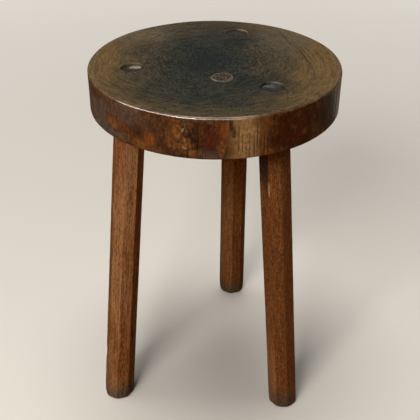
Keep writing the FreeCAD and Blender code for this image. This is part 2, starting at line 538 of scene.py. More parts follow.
# Figure of the edge, its colours, and how much of each kind of figure shows
EDGE_GRAINS = {
    "streaks": Grain(300, 4.0, 0.6, 0.12),
    "specks": Grain(380, 4.0, 0.7, 0.7),
    "blotches": Grain(70, 5.0, 0.65, 0.8),
}
EDGE_STOPS = {"edge_black": 0.38, "edge_brown": 0.50, "edge_amber": 0.68}
EDGE_MOTTLE = {"streaks": 0.1, "blotches": 0.9}
EDGE_RAGGED = {"blotches": 1.7, "specks": 1.4}
EDGE_DETAIL = {"streaks": 0.6, "specks": 3.4}
EDGE_CHIPS, CHIP_CLEAR = Mottle(Grain(210, 4.0, 0.8), 0.53, 0.60), 1.5

# Knots in the edge: a dark outline that begins and ends at these shares of the reach, round a core
KNOT_RAGGED = {"blotches": 1.8, "specks": 1.2}
OUTLINE_BEGINS, OUTLINE_ENDS = (0.55, 0.85), (0.9, 1.3)
KNOT_CORE, CORE_SHARE = (0.05, 0.35), 0.7

# Wear and shine of the seat
RIM_WEAR, RIM_BARE = Mottle(Grain(60, 4.0, 0.6), 0.45, 0.65), 0.3
LIP_WEAR, LIP_BARE = Mottle(Grain(130, 3.0), 0.42, 0.62), 0.15
SCRATCH_BARE, CRACK_BLACK = 0.3, 0.9
SCRAPES, LIP_POLISH = Mottle(Grain(280, height_scale=0.06), 0.42, 0.54), 0.1
TOP_ROUGHNESS, FIGURE_ROUGHNESS, EDGE_SMOOTHING, POLISH_SMOOTHING = 0.45, 0.3, 0.09, 0.22
TOP_SHINE, EDGE_SHINE, POLISH_SHINE = 0.10, 0.25, 0.3
SEAT_RELIEF, POLISH_FLATTENING = 0.2 * MM, 0.85


def gap_from(place, patch):
    """Distance from a patch's middle, 1 at its border."""
    offset = vector_maths(place, "SUBTRACT", patch.middle)
    return vector_maths(vector_maths(offset, "DIVIDE", patch.reach), "LENGTH", output="Value")


def share_of(patch, place, border, ragged=0.0):
    """How strong a patch is at a place, with a ragged border."""
    return (1.0 - (gap_from(place, patch) + ragged).step(*border)) * patch.strength


def stain_patches(base, place, patches, ragged, settings):
    """Colour with patches stained on it, whose borders are ragged."""
    coats = [(share_of(patch, place, STAIN_BORDER, ragged), patch.stain) for patch in patches]
    return paint(base, settings, *coats)


def top_figure(place):
    """Growth rings, blotches and specks of the top."""
    x, y, _ = parts(place)
    pith_x, pith_y = x - PITH[0], y - PITH[1]
    radius = level_length(pith_x, pith_y) + PITH_CORE
    wander = (cloud(place, RING_WANDER) - NOISE_MEAN) * WANDER_REACH
    fields = {"blotches": cloud(place, TOP_BLOTCHES), "specks": cloud(place, TOP_SPECKS)}
    for name, (grain, shift) in RINGS.items():
        round_pith = (pith_x / radius * shift, pith_y / radius * shift)
        fields[name] = cloud(vector(place.tree, radius + wander, *round_pith), grain)
    return fields


def top_colour(place, settings):
    """Colour of the top, a black heart with worn gold near the rim and a painted grey sheen at the back,
    and its fine rings.
    """
    fields = top_figure(place)
    x, y, _ = parts(place)
    heart_x = (x - HEART_MIDDLE[0]) / HEART_REACH[0]
    heart_y = (y - HEART_MIDDLE[1]) / HEART_REACH[1]
    spread = level_length(heart_x, heart_y) + blend(fields, HEART_RAGGED)
    base = ramp(spread * TOP_SPREAD, settings, TOP_STOPS)
    base = stain_patches(base, place, TOP_PATCHES, blend(fields, TOP_RAGGED), settings)
    contrast = HEART_CONTRAST - spread.step(*CONTRAST_FADE) * CONTRAST_LOSS
    value = 1.0 + blend(fields, TOP_DETAIL) * contrast
    return shade(base, value.of("MAXIMUM", DARKEST)), fields["fine"]


def side_colour(place, settings):
    """Colour of the edge, mottled, stained in patches, with painted grey sheen on its left, and marked by
    knots, and its specks.
    """
    fields = {name: cloud(place, grain) for name, grain in EDGE_GRAINS.items()}
    base = ramp(blend(fields, EDGE_MOTTLE) + NOISE_MEAN, settings, EDGE_STOPS)
    base = stain_patches(base, place, EDGE_PATCHES, blend(fields, EDGE_RAGGED), settings)
    knot_ragged = blend(fields, KNOT_RAGGED)
    for knot in EDGE_KNOTS:
        gap = gap_from(place, knot) + knot_ragged
        outline = gap.step(*OUTLINE_BEGINS) * (1.0 - gap.step(*OUTLINE_ENDS))
        core = 1.0 - gap.step(*KNOT_CORE)
        base = paint(base, settings, ((outline + core * CORE_SHARE) * knot.strength, knot.stain))
    unchipped = (1.0 - mottle(place, EDGE_CHIPS)) * CHIP_CLEAR
    base = stain_patches(base, place, CHIPPED_PATCHES, unchipped, settings)
    value = 1.0 + blend(fields, EDGE_DETAIL)
    return shade(base, value.of("MAXIMUM", DARKEST)), fields["specks"]


def seat_wood(settings):
    """Old end grain on the top and stained wood round the edge."""
    finish, tree, shader = new_finish("seat wood")
    place = from_place(tree, (*SEAT.axis, SEAT.top))
    side, rim, lip, crack, scratch = (attribute(tree, name) for name in SEAT_MARKS)
    top, top_rings = top_colour(place, settings)
    edge, edge_specks = side_colour(place, settings)
    bare = lip * mottle(place, LIP_WEAR) * LIP_BARE + scratch * SCRATCH_BARE
    base = paint(
        mix(side, top, edge), settings,
        (rim * mottle(place, RIM_WEAR) * RIM_BARE, "worn"), (bare, "worn"),
        # Painted highlights on the mouths of the tenons' holes
        *((share_of(patch, place, LIP_HIGHLIGHT_BORDER) * lip, patch.stain) for patch in LIP_HIGHLIGHTS),
        (crack * CRACK_BLACK, "edge_black"),
    )
    rubbed = side * share_of(POLISHED_PATCH, place, POLISH_BORDER) * mottle(place, SCRAPES)
    polish = rim.of("MAXIMUM", lip * LIP_POLISH).of("MAXIMUM", rubbed)
    grain = top_rings * (1.0 - side) + edge_specks * side
    roughness = TOP_ROUGHNESS - side * EDGE_SMOOTHING - polish * POLISH_SMOOTHING
    roughness = roughness + (grain - NOISE_MEAN) * FIGURE_ROUGHNESS
    shine = TOP_SHINE + side * EDGE_SHINE + polish * POLISH_SHINE
    dress(shader, base, roughness, shine, grain * (1.0 - polish * POLISH_FLATTENING), SEAT_RELIEF)
    return finish


# Wood of the legs, the wedges and the plug

EndPatch = namedtuple("EndPatch", "leg stain x y half_x half_y strength")

# Painted light and shade on the tenons' ends, in millimetres from their middles: a painted highlight and a
# painted shade on the left one, and a painted grey sheen on the right and rear ones
END_PATCHES = (
    EndPatch("left", "painted_end_highlight", 5, 6, 9, 5, 0.75),
    EndPatch("left", "dark_end_and_shade", -9, 2, 4, 7, 0.80),
    EndPatch("right", "painted_end_sheen", -3, 7, 10, 5, 0.80),
    EndPatch("rear", "painted_end_sheen", 3, 3, 10, 7, 0.12),
)
END_GRAINS = {"blotches": Grain(240, 4.0, 0.65), "specks": Grain(700, 3.0, 0.7)}
END_STOPS = {"dark_end_and_shade": 0.38, "end_grain": 0.60}
END_RAGGED = {"blotches": 2.4}
END_DETAIL = {"specks": 1.6}

# Figure of the legs' wood, drawn out along the leg
FIBRES = Grain(470, 4.0, 0.8, 0.05)
BANDS = Grain(50, 3.0, 0.6, 0.16)
FLECKS = Grain(960, 2.0, 0.6, 0.28)
PORES = Mottle(Grain(760, 2.0, 0.6, 0.12), 0.53, 0.61)
RUDDY = Mottle(Grain(34, height_scale=0.3), 0.45, 0.65)
LEG_STOPS, STREAK_TONE, BAND_TONE = {"dark": 0.32, "brown": 0.50, "light": 0.68}, 0.5, 0.25
STREAK_CONTRAST, FLECK_CONTRAST = 2.8, 2.6

# How much of each coat the legs have, where in the figure it lies, and how dark tones redden
RUDDY_SHARE, PORE_SHARE, CHIP_SHARE = 0.4, 0.5, 0.8
# The lighter arrises are partly worn edges and partly a painted highlight
ARRIS_SHARE, ARRIS_FIBRES = 0.4, (0.4, 0.7)
DUST_SHARE, DUST_FLECKS = 0.25, (0.50, 0.60)
FADED_AND_LIT_BANDS = (0.2, 0.7)
GREEN_POWER, BLUE_POWER = 1.35, 2.3

# Heights between which the painted shadow under the seat begins and dirt at the foot ends, and how far they
# waver
PAINTED_SHADOW_SHARE, PAINTED_SHADOW_HEIGHTS, PAINTED_SHADOW_WAVER = 0.85, (302 * MM, 346 * MM), 90 * MM
DIRT_SHARE, DIRT_HEIGHTS, DIRT_WAVER = 0.9, (6 * MM, 34 * MM), 20 * MM
DIRT_LOSS = 0.3

# Shine and relief of the legs, the wedges and the plug
LEG_ROUGHNESS, PORE_ROUGHNESS, BAND_ROUGHNESS = 0.42, 0.2, 0.3
LEG_SHINE, END_DULLING, LEG_RELIEF = 0.26, 0.05, 0.18 * MM
WEDGE_FIBRES, WEDGE_PALE, WEDGE_SHARE = Grain(900, 4.0, 0.6), (0.4, 0.7), 0.4
PLUG_MOTTLES, PLUG_EDGE = Grain(330, 3.0, 0.65), Mottle(Grain(380, 3.0, 0.6), 0.42, 0.58)
PLUG_STOPS = {"pore": 0.44, "face": 0.52, "fleck": 0.60}
DULL_ROUGHNESS, WEDGE_ROUGHNESS, PLUG_ROUGHNESS = 0.5, 0.4, 0.5
DULL_SHINE, WEDGE_RELIEF, PLUG_RELIEF = 0.25, 0.2 * MM, 0.3 * MM


def end_patch(patch):
    """Patch on a tenon's end, by its place in the scene."""
    head = next(leg.head for leg in LEGS if leg.name == patch.leg)
    middle = (head.x + patch.x * MM, head.y + patch.y * MM, head.z)
    return Patch(patch.stain, middle, (patch.half_x * MM, patch.half_y * MM, TENON_RADIUS), patch.strength)


def end_colour(place, settings):
    """Colour of the tenons' ends and of the wedges in them, with painted highlights, shade and sheen in
    patches.
    """
    fields = {name: cloud(place, grain) for name, grain in END_GRAINS.items()}
    base = ramp(fields["blotches"], settings, END_STOPS)
    patches = [end_patch(patch) for patch in END_PATCHES]
    base = stain_patches(base, place, patches, blend(fields, END_RAGGED), settings)
    return shade(base, 1.0 + blend(fields, END_DETAIL))


def leg_wood(settings):
    """Straight-grained brown wood, paler on flats turned to the light as daylight fading and painted light,
    with a painted shadow under the seat, and dirty at the foot.
    """
    finish, tree, shader = new_finish("leg wood")
    grain = attribute(tree, "grain", "Vector")
    height = parts(grain)[2]
    fibres, bands, flecks = (cloud(grain, kind) for kind in (FIBRES, BANDS, FLECKS))
    pores = mottle(grain, PORES)
    streaks = (fibres - NOISE_MEAN) * attribute(tree, "figure")
    waves = bands - NOISE_MEAN
    # Painted shadow of the seat, from partway up the leg to the shoulder
    painted_shadow = (height + waves * PAINTED_SHADOW_WAVER).step(*PAINTED_SHADOW_HEIGHTS)
    dirt = 1.0 - (height + waves * DIRT_WAVER).step(*DIRT_HEIGHTS)
    tone, fade_and_light, at_end = (attribute(tree, name) for name in ("tone", "fade_and_light", "end"))
    base = ramp(streaks * STREAK_TONE + waves * BAND_TONE + NOISE_MEAN, settings, LEG_STOPS)
    base = paint(
        base, settings,
        (mottle(grain, RUDDY) * RUDDY_SHARE, "ruddy"),
        (pores * PORE_SHARE, "fleck"),
        # Lighter arrises: partly worn edges, partly a painted highlight
        (attribute(tree, "arris") * fibres.step(*ARRIS_FIBRES) * ARRIS_SHARE, "light"),
        (attribute(tree, "seat_shade") * painted_shadow * PAINTED_SHADOW_SHARE, "painted_shadow"),
    )
    base = vector_maths(base, "MULTIPLY", vector(tree, tone, tone ** GREEN_POWER, tone ** BLUE_POWER))
    base = paint(
        base, settings,
        # Paler flats turned to a bearing: partly faded wood, partly painted light
        (fade_and_light * bands.step(*FADED_AND_LIT_BANDS), "faded_and_lit"),
        (flecks.step(*DUST_FLECKS) * DUST_SHARE, "dust"),
        (dirt * (DIRT_SHARE - fade_and_light * DIRT_LOSS), "foot_grey"),
        (attribute(tree, "chip") * CHIP_SHARE, "bare"),
    )
    base = mix(at_end, base, end_colour(from_place(tree), settings))
    base = shade(base, 1.0 + streaks * STREAK_CONTRAST + (flecks - NOISE_MEAN) * FLECK_CONTRAST)
    roughness = LEG_ROUGHNESS + pores * PORE_ROUGHNESS + waves * BAND_ROUGHNESS
    dress(shader, base, roughness, LEG_SHINE - at_end * END_DULLING, fibres - pores, LEG_RELIEF)
    return finish


def wedge_wood(settings):
    """End grain of a wedge, worn dull."""
    finish, tree, shader = new_finish("wedge wood")
    place = from_place(tree)
    fibres = cloud(place, WEDGE_FIBRES)
    base = mix(fibres.step(*WEDGE_PALE) * WEDGE_SHARE, end_colour(place, settings), settings.wedge)
    roughness = DULL_ROUGHNESS + (fibres - NOISE_MEAN) * WEDGE_ROUGHNESS
    dress(shader, base, roughness, DULL_SHINE, fibres, WEDGE_RELIEF)
    return finish


def plug_wood(settings):
    """Dark, mottled end grain with a pale worn edge."""
    finish, tree, shader = new_finish("plug wood")
    middle = (PLUG_LOW + PLUG_HIGH) / 2
    place = from_place(tree, (middle.x, middle.y, PLUG_HIGH.z))
    mottles = cloud(place, PLUG_MOTTLES)
    edge = attribute(tree, "rim") * mottle(place, PLUG_EDGE)
    base = mix(edge, ramp(mottles, settings, PLUG_STOPS), settings.ring)
    roughness = DULL_ROUGHNESS + (mottles - NOISE_MEAN) * PLUG_ROUGHNESS
    dress(shader, base, roughness, DULL_SHINE, mottles, PLUG_RELIEF)
    return finish


# Leg and wedge trees

INPUT_KINDS = {"Foot": "Vector", "Head": "Vector", "Material": "Material"}
WEDGE_INPUTS = (
    "Foot", "Head", "Tenon Radius", "Kerf Bearing", "Kerf Width", "Tip Width", "Kerf Depth", "Material",
)
LEG_INPUTS = (
    *WEDGE_INPUTS, "Shoulder", "Width at Foot", "Width at Seat", "Facet Bearing", "Foot Round", "End Round",
    "Unevenness", "Arris Wear", "Chip Depth", "Seed", "Tone", "Figure", "Foot Fading and Light", "Seat Fading and Light",
    "Foot Daylight", "Seat Daylight", "Seat Shade", "Scar Height", "Scar Turn",
)

# Half the height of the plain blocks that the trees shape
HALF_BLOCK = 0.5


def open_tree(name, inputs):
    """New geometry tree with named inputs: the tree, the inputs' values and its output node."""
    tree = bpy.data.node_groups.new(name, "GeometryNodeTree")
    for label in inputs:
        kind = "NodeSocket" + INPUT_KINDS.get(label, "Float")
        tree.interface.new_socket(label, in_out="INPUT", socket_type=kind)
    tree.interface.new_socket("Geometry", in_out="OUTPUT", socket_type="NodeSocketGeometry")
    source = tree.nodes.new("NodeGroupInput")
    values = {socket.name: Flow(socket) for socket in source.outputs if socket.name}
    return tree, values, tree.nodes.new("NodeGroupOutput")


def altered(kind, mesh, inputs=None, **settings):
    """Mesh after one node has changed it."""
    return Flow(add_node(mesh.tree, kind, {"Geometry": mesh, **(inputs or {})}, **settings).outputs[0])


def keep(mesh, name, value, kind="FLOAT"):
    """Mesh with a value stored on it under a name."""
    inputs = {"Name": name, "Value": value}
    return altered("GeometryNodeStoreNamedAttribute", mesh, inputs, data_type=kind)


def move(mesh, x, y, z):
    """Mesh whose points are set to a place worked out for each."""
    return altered("GeometryNodeSetPosition", mesh, {"Position": vector(mesh.tree, x, y, z)})


def close_tree(mesh, given, output):
    """Realizes the mesh, smooths it, gives it its material and ends the tree."""
    mesh = altered("GeometryNodeRealizeInstances", mesh)
    mesh = altered("GeometryNodeSetShadeSmooth", mesh)
    feed(output.inputs[0], altered("GeometryNodeSetMaterial", mesh, {"Material": given["Material"]}))


def unit_place(tree):
    """Level place of a point on a block 1 high, and how far up the block it is, from 0 to 1."""
    x, y, z = parts(Flow(tree.nodes.new("GeometryNodeInputPosition").outputs[0]))
    return x, y, z + HALF_BLOCK


def between(given, first, last, share):
    """Value that runs from one input to another."""
    return given[first] + (given[last] - given[first]) * share


def axis_point(given, height):
    """Level place of a leg's axis at a height."""
    foot_x, foot_y, _ = parts(given["Foot"])
    head_x, head_y, head_z = parts(given["Head"])
    share = height / head_z
    return foot_x + (head_x - foot_x) * share, foot_y + (head_y - foot_y) * share


# Points along, across and up a kerf's slot and a wedge, how far the slot reaches past the tenon's side and
# end, and how the wedge's end is crowned
KERF_POINTS, WEDGE_POINTS = (2, 2, 2), (33, 9, 13)
KERF_OVERHANG, KERF_RISE = 1.3, 1.1
WEDGE_FIT = 0.99
CROWN, CROWN_ALONG, CROWN_ACROSS = Grain(1.4), 4.0, 0.8
CROWN_ZONE, CROWN_DROP = (0.9, 1.0), 0.4 * MM


def kerf_block(tree, given, points):
    """Block from -1 to 1 along and across a kerf: mesh, places, share of its depth and half its width."""
    counts = dict(zip(("Vertices X", "Vertices Y", "Vertices Z"), points))
    cube = add_node(tree, "GeometryNodeMeshCube", {"Size": (2.0, 2.0, 1.0), **counts})
    x, y, share = unit_place(tree)
    return Flow(cube.outputs["Mesh"]), x, y, share, between(given, "Tip Width", "Kerf Width", share) / 2


def kerf_floor(given):
    """Height of a kerf's floor."""
    return parts(given["Head"])[2] - given["Kerf Depth"]


def place_in_kerf(mesh, given, along, across, height):
    """Mesh whose points lie along and across a leg's kerf at a height."""
    cosine, sine = given["Kerf Bearing"].of("COSINE"), given["Kerf Bearing"].of("SINE")
    axis_x, axis_y = axis_point(given, height)
    x = axis_x + across * cosine + along * sine
    return move(mesh, x, axis_y + across * sine - along * cosine, height)


def kerf_mesh(tree, given):
    """Tapered slot for the wedge, reaching past the tenon's sides and end."""
    mesh, x, y, share, half_width = kerf_block(tree, given, KERF_POINTS)
    height = kerf_floor(given) + given["Kerf Depth"] * share * KERF_RISE
    along = x * given["Tenon Radius"] * KERF_OVERHANG
    return place_in_kerf(keep(mesh, "tone", given["Tone"]), given, along, y * half_width, height)


def wedge_tree():
    """Tree for a wedge that fills its tenon's kerf."""
    tree, given, output = open_tree("Tenon wedge", WEDGE_INPUTS)
    mesh, x, y, share, half_width = kerf_block(tree, given, WEDGE_POINTS)
    crown = cloud(vector(tree, x * CROWN_ALONG, y * CROWN_ACROSS, 0.0), CROWN) * share.step(*CROWN_ZONE)
    height = kerf_floor(given) + given["Kerf Depth"] * share - crown * CROWN_DROP
    across = y * half_width * WEDGE_FIT
    along = x * (given["Tenon Radius"] ** 2 - across * across).of("SQRT")
    close_tree(place_in_kerf(mesh, given, along, across, height), given, output)
    return tree


# Rows of points up a leg, by stretch: foot, shaft, shoulder, tenon, the round of its end, and its end
LEG_ROWS = (6, 150, 4, 14, 4, 8)
LEG_COLUMNS_PER_SIDE = 18
END_CORE = 0.03

# Arrises, by how keenly two flats meet, which wear has dulled over a share of the shaft near the foot
ARRIS_POWER, FOOT_ARRIS_POWER = 260, 16
FOOT_WEAR = 0.05
ARRIS_ZONE = (0.93, 1.0)
ARRIS_GRAIN = Grain(40, 3.0)
ARRIS_CHIPS = Mottle(Grain(70, 3.0, height_scale=0.55), 0.62, 0.70)
SWAY = Grain(24, height_scale=0.5)

# A scar, by half its length and by half its width in sides of the octagon
SCAR_HALF_LENGTH = 14 * MM
SCAR_HALF_TURN = 0.34
SCAR_RAGGED, SCAR_BORDER = 0.6, (0.7, 1.2)

# Flats that daylight fades and painted light brightens, and flats in the seat's painted shadow, by the
# cosine of their turn from a bearing
FADED_AND_LIT_TURN, SHADED_TURN = (0.63, 0.95), (0.75, 0.92)
SHADED_BEARING = math.radians(205)


def stretches(row, counts):
    """For each stretch of rows, how far along it a row is, from 0 to 1."""
    start = 0
    for count in counts:
        yield ((row - start) / count).of("MAXIMUM", 0.0).of("MINIMUM", 1.0)
        start += count


def octagon_reach(tree, lean, shaft):
    """Reach of an octagon with rounded corners at a lean from the nearest flat, for flats 1 away."""
    keenness = maths(tree, "POWER", ARRIS_POWER / FOOT_ARRIS_POWER, shaft.step(0.0, FOOT_WEAR))
    power = keenness * FOOT_ARRIS_POWER
    near_flat = lean.of("COSINE") ** power
    next_flat = (SIDE_TURN - lean.of("ABSOLUTE")).of("COSINE") ** power
    return (near_flat + next_flat) ** maths(tree, "DIVIDE", -1.0, power)


def leg_tree():
    """Tree for a worn octagonal leg with a round, kerfed tenon."""
    tree, given, output = open_tree("Octagonal leg", LEG_INPUTS)
    rows = sum(LEG_ROWS)
    columns = LEG_SIDES * LEG_COLUMNS_PER_SIDE
    counts = {"Vertices": columns, "Side Segments": rows, "Radius": 1.0, "Depth": 1.0}
    cylinder = add_node(tree, "GeometryNodeMeshCylinder", counts, fill_type="TRIANGLE_FAN")
    x, y, rise = unit_place(tree)
    foot_turn, shaft, shoulder, tenon, end_turn, end = stretches(rise * rows, LEG_ROWS)

    # Columns crowd towards the arrises
    turn = y.of("ARCTAN2", x) / SIDE_TURN
    nearest = turn.of("ROUND")
    from_flat = ((turn - nearest) * math.pi).of("SINE")
    lean = from_flat * (SIDE_TURN / 2)
    flat_bearing = nearest * SIDE_TURN + given["Facet Bearing"]
    bearing = flat_bearing + lean
    cosine, sine = bearing.of("COSINE"), bearing.of("SINE")

    # Heights, and the leg's true outline
    foot_angle, end_angle = foot_turn * QUARTER_TURN, end_turn * QUARTER_TURN
    tenon_length = parts(given["Head"])[2] - given["Shoulder"] - given["End Round"]
    height = (
        given["Foot Round"] * (1.0 - foot_angle.of("COSINE"))
        + (given["Shoulder"] - given["Foot Round"]) * shaft
        + tenon_length * tenon + given["End Round"] * end_angle.of("SINE")
    )
    half_width = between(given, "Width at Foot", "Width at Seat", shaft) / 2
    flat_radius = half_width * octagon_reach(tree, lean, shaft)

    # Wear
    grain = vector(tree, cosine * flat_radius + given["Seed"], sine * flat_radius, height)
    arris = from_flat.of("ABSOLUTE").step(*ARRIS_ZONE)
    sway = cloud(grain, SWAY)
    scar_rise = ((height - given["Scar Height"]) / SCAR_HALF_LENGTH).of("ABSOLUTE")
    scar_turn = ((turn - given["Scar Turn"]) / SCAR_HALF_TURN).of("ABSOLUTE")
    scar = 1.0 - (scar_rise ** 2 + scar_turn + sway * SCAR_RAGGED).step(*SCAR_BORDER)
    chip = (mottle(grain, ARRIS_CHIPS) * arris).of("MAXIMUM", scar)
    arris_wear = arris * cloud(grain, ARRIS_GRAIN) * given["Arris Wear"]
    worn = given["Unevenness"] * (sway - NOISE_MEAN) / NOISE_MEAN - arris_wear - chip * given["Chip Depth"]
    shaft_radius = flat_radius + worn - given["Foot Round"] * (1.0 - foot_angle.of("SINE"))
    tenon_radius = given["Tenon Radius"] - given["End Round"] * (1.0 - end_angle.of("COSINE"))
    on_shaft = 1.0 - shoulder
    radius = shaft_radius * on_shaft + tenon_radius * shoulder
    radius = radius * (1.0 - end * (1 - END_CORE)) * level_length(x, y)

    # Looks
    # Flats turned to the daylight's bearing are paler, partly as faded wood and partly as painted light;
    # the bearing swings up the leg
    fade_and_light = (flat_bearing - between(given, "Foot Daylight", "Seat Daylight", shaft)).of("COSINE")
    fade_and_light = fade_and_light.step(*FADED_AND_LIT_TURN) * between(given, "Foot Fading and Light", "Seat Fading and Light", shaft)
    # Flats turned to this bearing take the seat's painted shadow
    shaded_flat = (flat_bearing - SHADED_BEARING).of("COSINE").step(*SHADED_TURN)
    marks = {
        "arris": arris * on_shaft, "chip": chip * on_shaft, "fade_and_light": fade_and_light * on_shaft,
        "seat_shade": shaded_flat * given["Seat Shade"] * on_shaft, "figure": given["Figure"],
        "end": end_turn.of("CEIL"), "tone": given["Tone"],
    }
    mesh = keep(Flow(cylinder.outputs["Mesh"]), "grain", grain, "FLOAT_VECTOR")
    for name, value in marks.items():
        mesh = keep(mesh, name, value)
    axis_x, axis_y = axis_point(given, height)
    mesh = move(mesh, axis_x + cosine * radius, axis_y + sine * radius, height)
    inputs = {"Mesh 1": mesh, "Mesh 2": kerf_mesh(tree, given)}
    cut = add_node(tree, "GeometryNodeMeshBoolean", inputs, operation="DIFFERENCE", solver="MANIFOLD")
    close_tree(Flow(cut.outputs[0]), given, output)
    return tree


# Creases that are sharper than this stay sharp
SHARP_ANGLE = math.radians(50)


def add_object(name, data):
    """New object in the scene."""
    added = bpy.data.objects.new(name, data)
    bpy.context.scene.collection.objects.link(added)
    return added


def grow(name, tree, values):
    """Piece whose plain mesh is a tree's result."""
    piece = add_object(name, bpy.data.meshes.new(name))
    modifier = piece.modifiers.new("Shape", "NODES")
    modifier.node_group = tree
    for socket in tree.interface.items_tree:
        if socket.in_out == "INPUT":
            modifier[socket.identifier] = values[socket.name]
    depsgraph = bpy.context.evaluated_depsgraph_get()
    grown = piece.evaluated_get(depsgraph)
    mesh = bpy.data.meshes.new_from_object(grown, preserve_all_data_layers=True, depsgraph=depsgraph)
    piece.modifiers.remove(modifier)
    piece.data = mesh
    mesh.name = name
    if not mesh.polygons:
        raise RuntimeError(f"the tree {tree.name} made no faces for {name}")
    mesh.set_sharp_from_angle(angle=SHARP_ANGLE)
    return piece


# Seat mesh

Hole = namedtuple("Hole", "centre radius lip slant depth")
Crack = namedtuple("Crack", "half_width depth pale corners")
Check = namedtuple("Check", "bearing start end depth")
EdgeRow = namedtuple("EdgeRow", "inset drop side rim")
EdgePoint = namedtuple("EdgePoint", "place side rim groove")

# Cracks and scratches in the top, in millimetres, by places from the seat's axis
TOP_CRACKS = (
    Crack(0.9, 0.9, False, ((78, 110), (81, 88), (87, 66), (99, 34), (106, -8))),
    Crack(0.6, 0.6, False, ((90, 74), (101, 40), (110, 4))),
    Crack(0.45, 0.5, False, ((104, 52), (111, 24), (115, -4))),
    Crack(0.4, 0.4, False, ((114, 44), (120, 16), (122, -14))),
    Crack(0.4, 0.4, False, ((104, 8), (108, -24), (106, -48))),
    Crack(0.45, 0.5, False, ((75, -50), (73, -66), (74.5, -82), (72, -102))),
    Crack(0.5, 0.2, False, ((-25, 29), (-19, 28), (-12, 29))),
    Crack(0.45, 0.4, False, ((9, -8), (8, -24))),
    Crack(0.6, 0.2, True, ((-80, 23), (-70, 44), (-60, 70))),
    Crack(0.5, 0.15, True, ((-76, 24), (-66, 45), (-57, 66))),
    Crack(0.5, 0.15, True, ((-118, -20), (-112, 30), (-96, 74))),
)
CRACK_STEP = 1.2 * MM
CRACK_WOBBLE = 0.7 * MM
CRACK_TAPER = 0.18
CRACK_ROWS = (-1.0, -0.4, 0.0, 0.4, 1.0)

# Drying cracks in the edge, by zones: two bearings and how many lie between them, with the ranges that
# their places, ends, lengths and depths are drawn from
CHECK_SEED = 11
CHECK_ZONES = ((279.0, 293.0, 9), (258.0, 266.0, 4), (40.0, 210.0, 12))
CHECK_PLACES = (0.35, 0.65)
CHECK_ENDS, CHECK_LENGTHS = (0.75, 1.05), (0.35, 0.8)
CHECK_DEPTHS = (0.35, 0.8)
CHECK_HALF_WIDTH = 0.45 * MM
CHECK_CLEAR = 1.9 * MM
CHECK_WOBBLE = 0.5 * MM
CHECK_TAPER = 0.12

# Waver of a crack along it: waves to the metre, how far apart the cracks are in the noise, and a seed
Waver = namedtuple("Waver", "waves apart seed")
CRACK_WAVER = Waver(90, 7.3, 0.4)
CHECK_WAVER = Waver(110, 3.7, 0.2)

# Unevenness of the top, by bumps to the metre, and of the rim's round, by bumps to the seat's radius
Bumps = namedtuple("Bumps", "scale seed")
TOP_SWELL, TOP_RIPPLE, TOP_RIPPLE_SHARE = Bumps(17, 0.3), Bumps(75, 4.1), 0.3
RIM_SWELL = Bumps(3, 0.7)

# Where the top begins to droop towards its rim, and over how much of the radius
DROOP_FROM, DROOP_OVER = 0.84, 0.16

# Unevenness of the edge, by bumps to the seat's radius and by bumps to the metre down the edge
EdgeBumps = namedtuple("EdgeBumps", "round_seat down")
EDGE_SWELL, EDGE_RIPPLE, EDGE_RIPPLE_SHARE = EdgeBumps(2.6, 9), EdgeBumps(26, 40), 0.35

# How a knot swells in a ring, by shares of its reach, round a dented middle
KNOT_SWELL, KNOT_RING, KNOT_RING_WIDTH = 0.4 * MM, 0.85, 0.3
KNOT_DENT, KNOT_DENT_WIDTH = 0.6 * MM, 0.4

# Spacing of the points on the top and the underside, and how clear they keep, in shares of the spacing
GROUND_SPACING, UNDER_SPACING = 2.2 * MM, 5.0 * MM
BORDER_CLEAR, STRIP_CLEAR, MOUTH_CLEAR, CRACK_CLEAR = 0.6, 0.4, 0.4, 0.5

# Turn from one point to the next, the area of a point's cell where points lie 1 apart, and how they are
# joined: inside the border only, with points merged that lie so close, in millimetres
GOLDEN_ANGLE = math.pi * (3 - math.sqrt(5))
CELL_AREA = math.sqrt(3) / 2
INSIDE_BORDER, MERGE_GAP = 1, 1e-5

# Mouths of the holes in the top, with loops of points by shares of the worn lip, and rows of points down
# their walls by shares of the lip and of the depth
MOUTH_COLUMNS = 72
MOUTH_LOOPS = (0.12, 0.3, 0.55, 0.85, 1.3, 2.0)
MORTISE_GAP = 0.25 * MM
PLUG_GAP = 0.2 * MM
PLUG_LIP = 0.7 * MM
LIP_REACH = 1.3
WALL_LIP, WALL_MIDDLE = 2.2, 0.35

# Columns and rows of the edge, with the border that joins it to the top and the underside
EDGE_COLUMNS = 400
BORDER, INNER_BORDER = 9 * MM, 0.7
RIM_STEPS, SIDE_ROWS, LOWER_STEPS = 9, 26, 5
RIM_MARGIN, MARGIN_RIM, SIDE_RIM = 1.2 * MM, 0.3, 0.4


def make_checks():
    """Drying cracks in the edge, closest together in its pale patch."""
    dice = random.Random(CHECK_SEED)
    checks = []
    for first, last, count in CHECK_ZONES:
        for number in range(count):
            share = (number + dice.uniform(*CHECK_PLACES)) / count
            bearing = math.radians(first + (last - first) * share)
            end = dice.uniform(*CHECK_ENDS)
            start = end - dice.uniform(*CHECK_LENGTHS)
            checks.append(Check(bearing, start, end, dice.uniform(*CHECK_DEPTHS) * MM))
    return checks


def waver_at(waver, place, number):
    """How far a numbered crack strays at a place along it."""
    return noise.noise((place * waver.waves, number * waver.apart, waver.seed))


def bump_at(bumps, x, y):
    """Soft noise at a level place."""
    return noise.noise((x * bumps.scale, y * bumps.scale, bumps.seed))


def edge_bump(bumps, x, y, drop):
    """Soft noise on the edge, towards a level direction and at a drop below the top."""
    return noise.noise((x * bumps.round_seat, y * bumps.round_seat, drop * bumps.down))


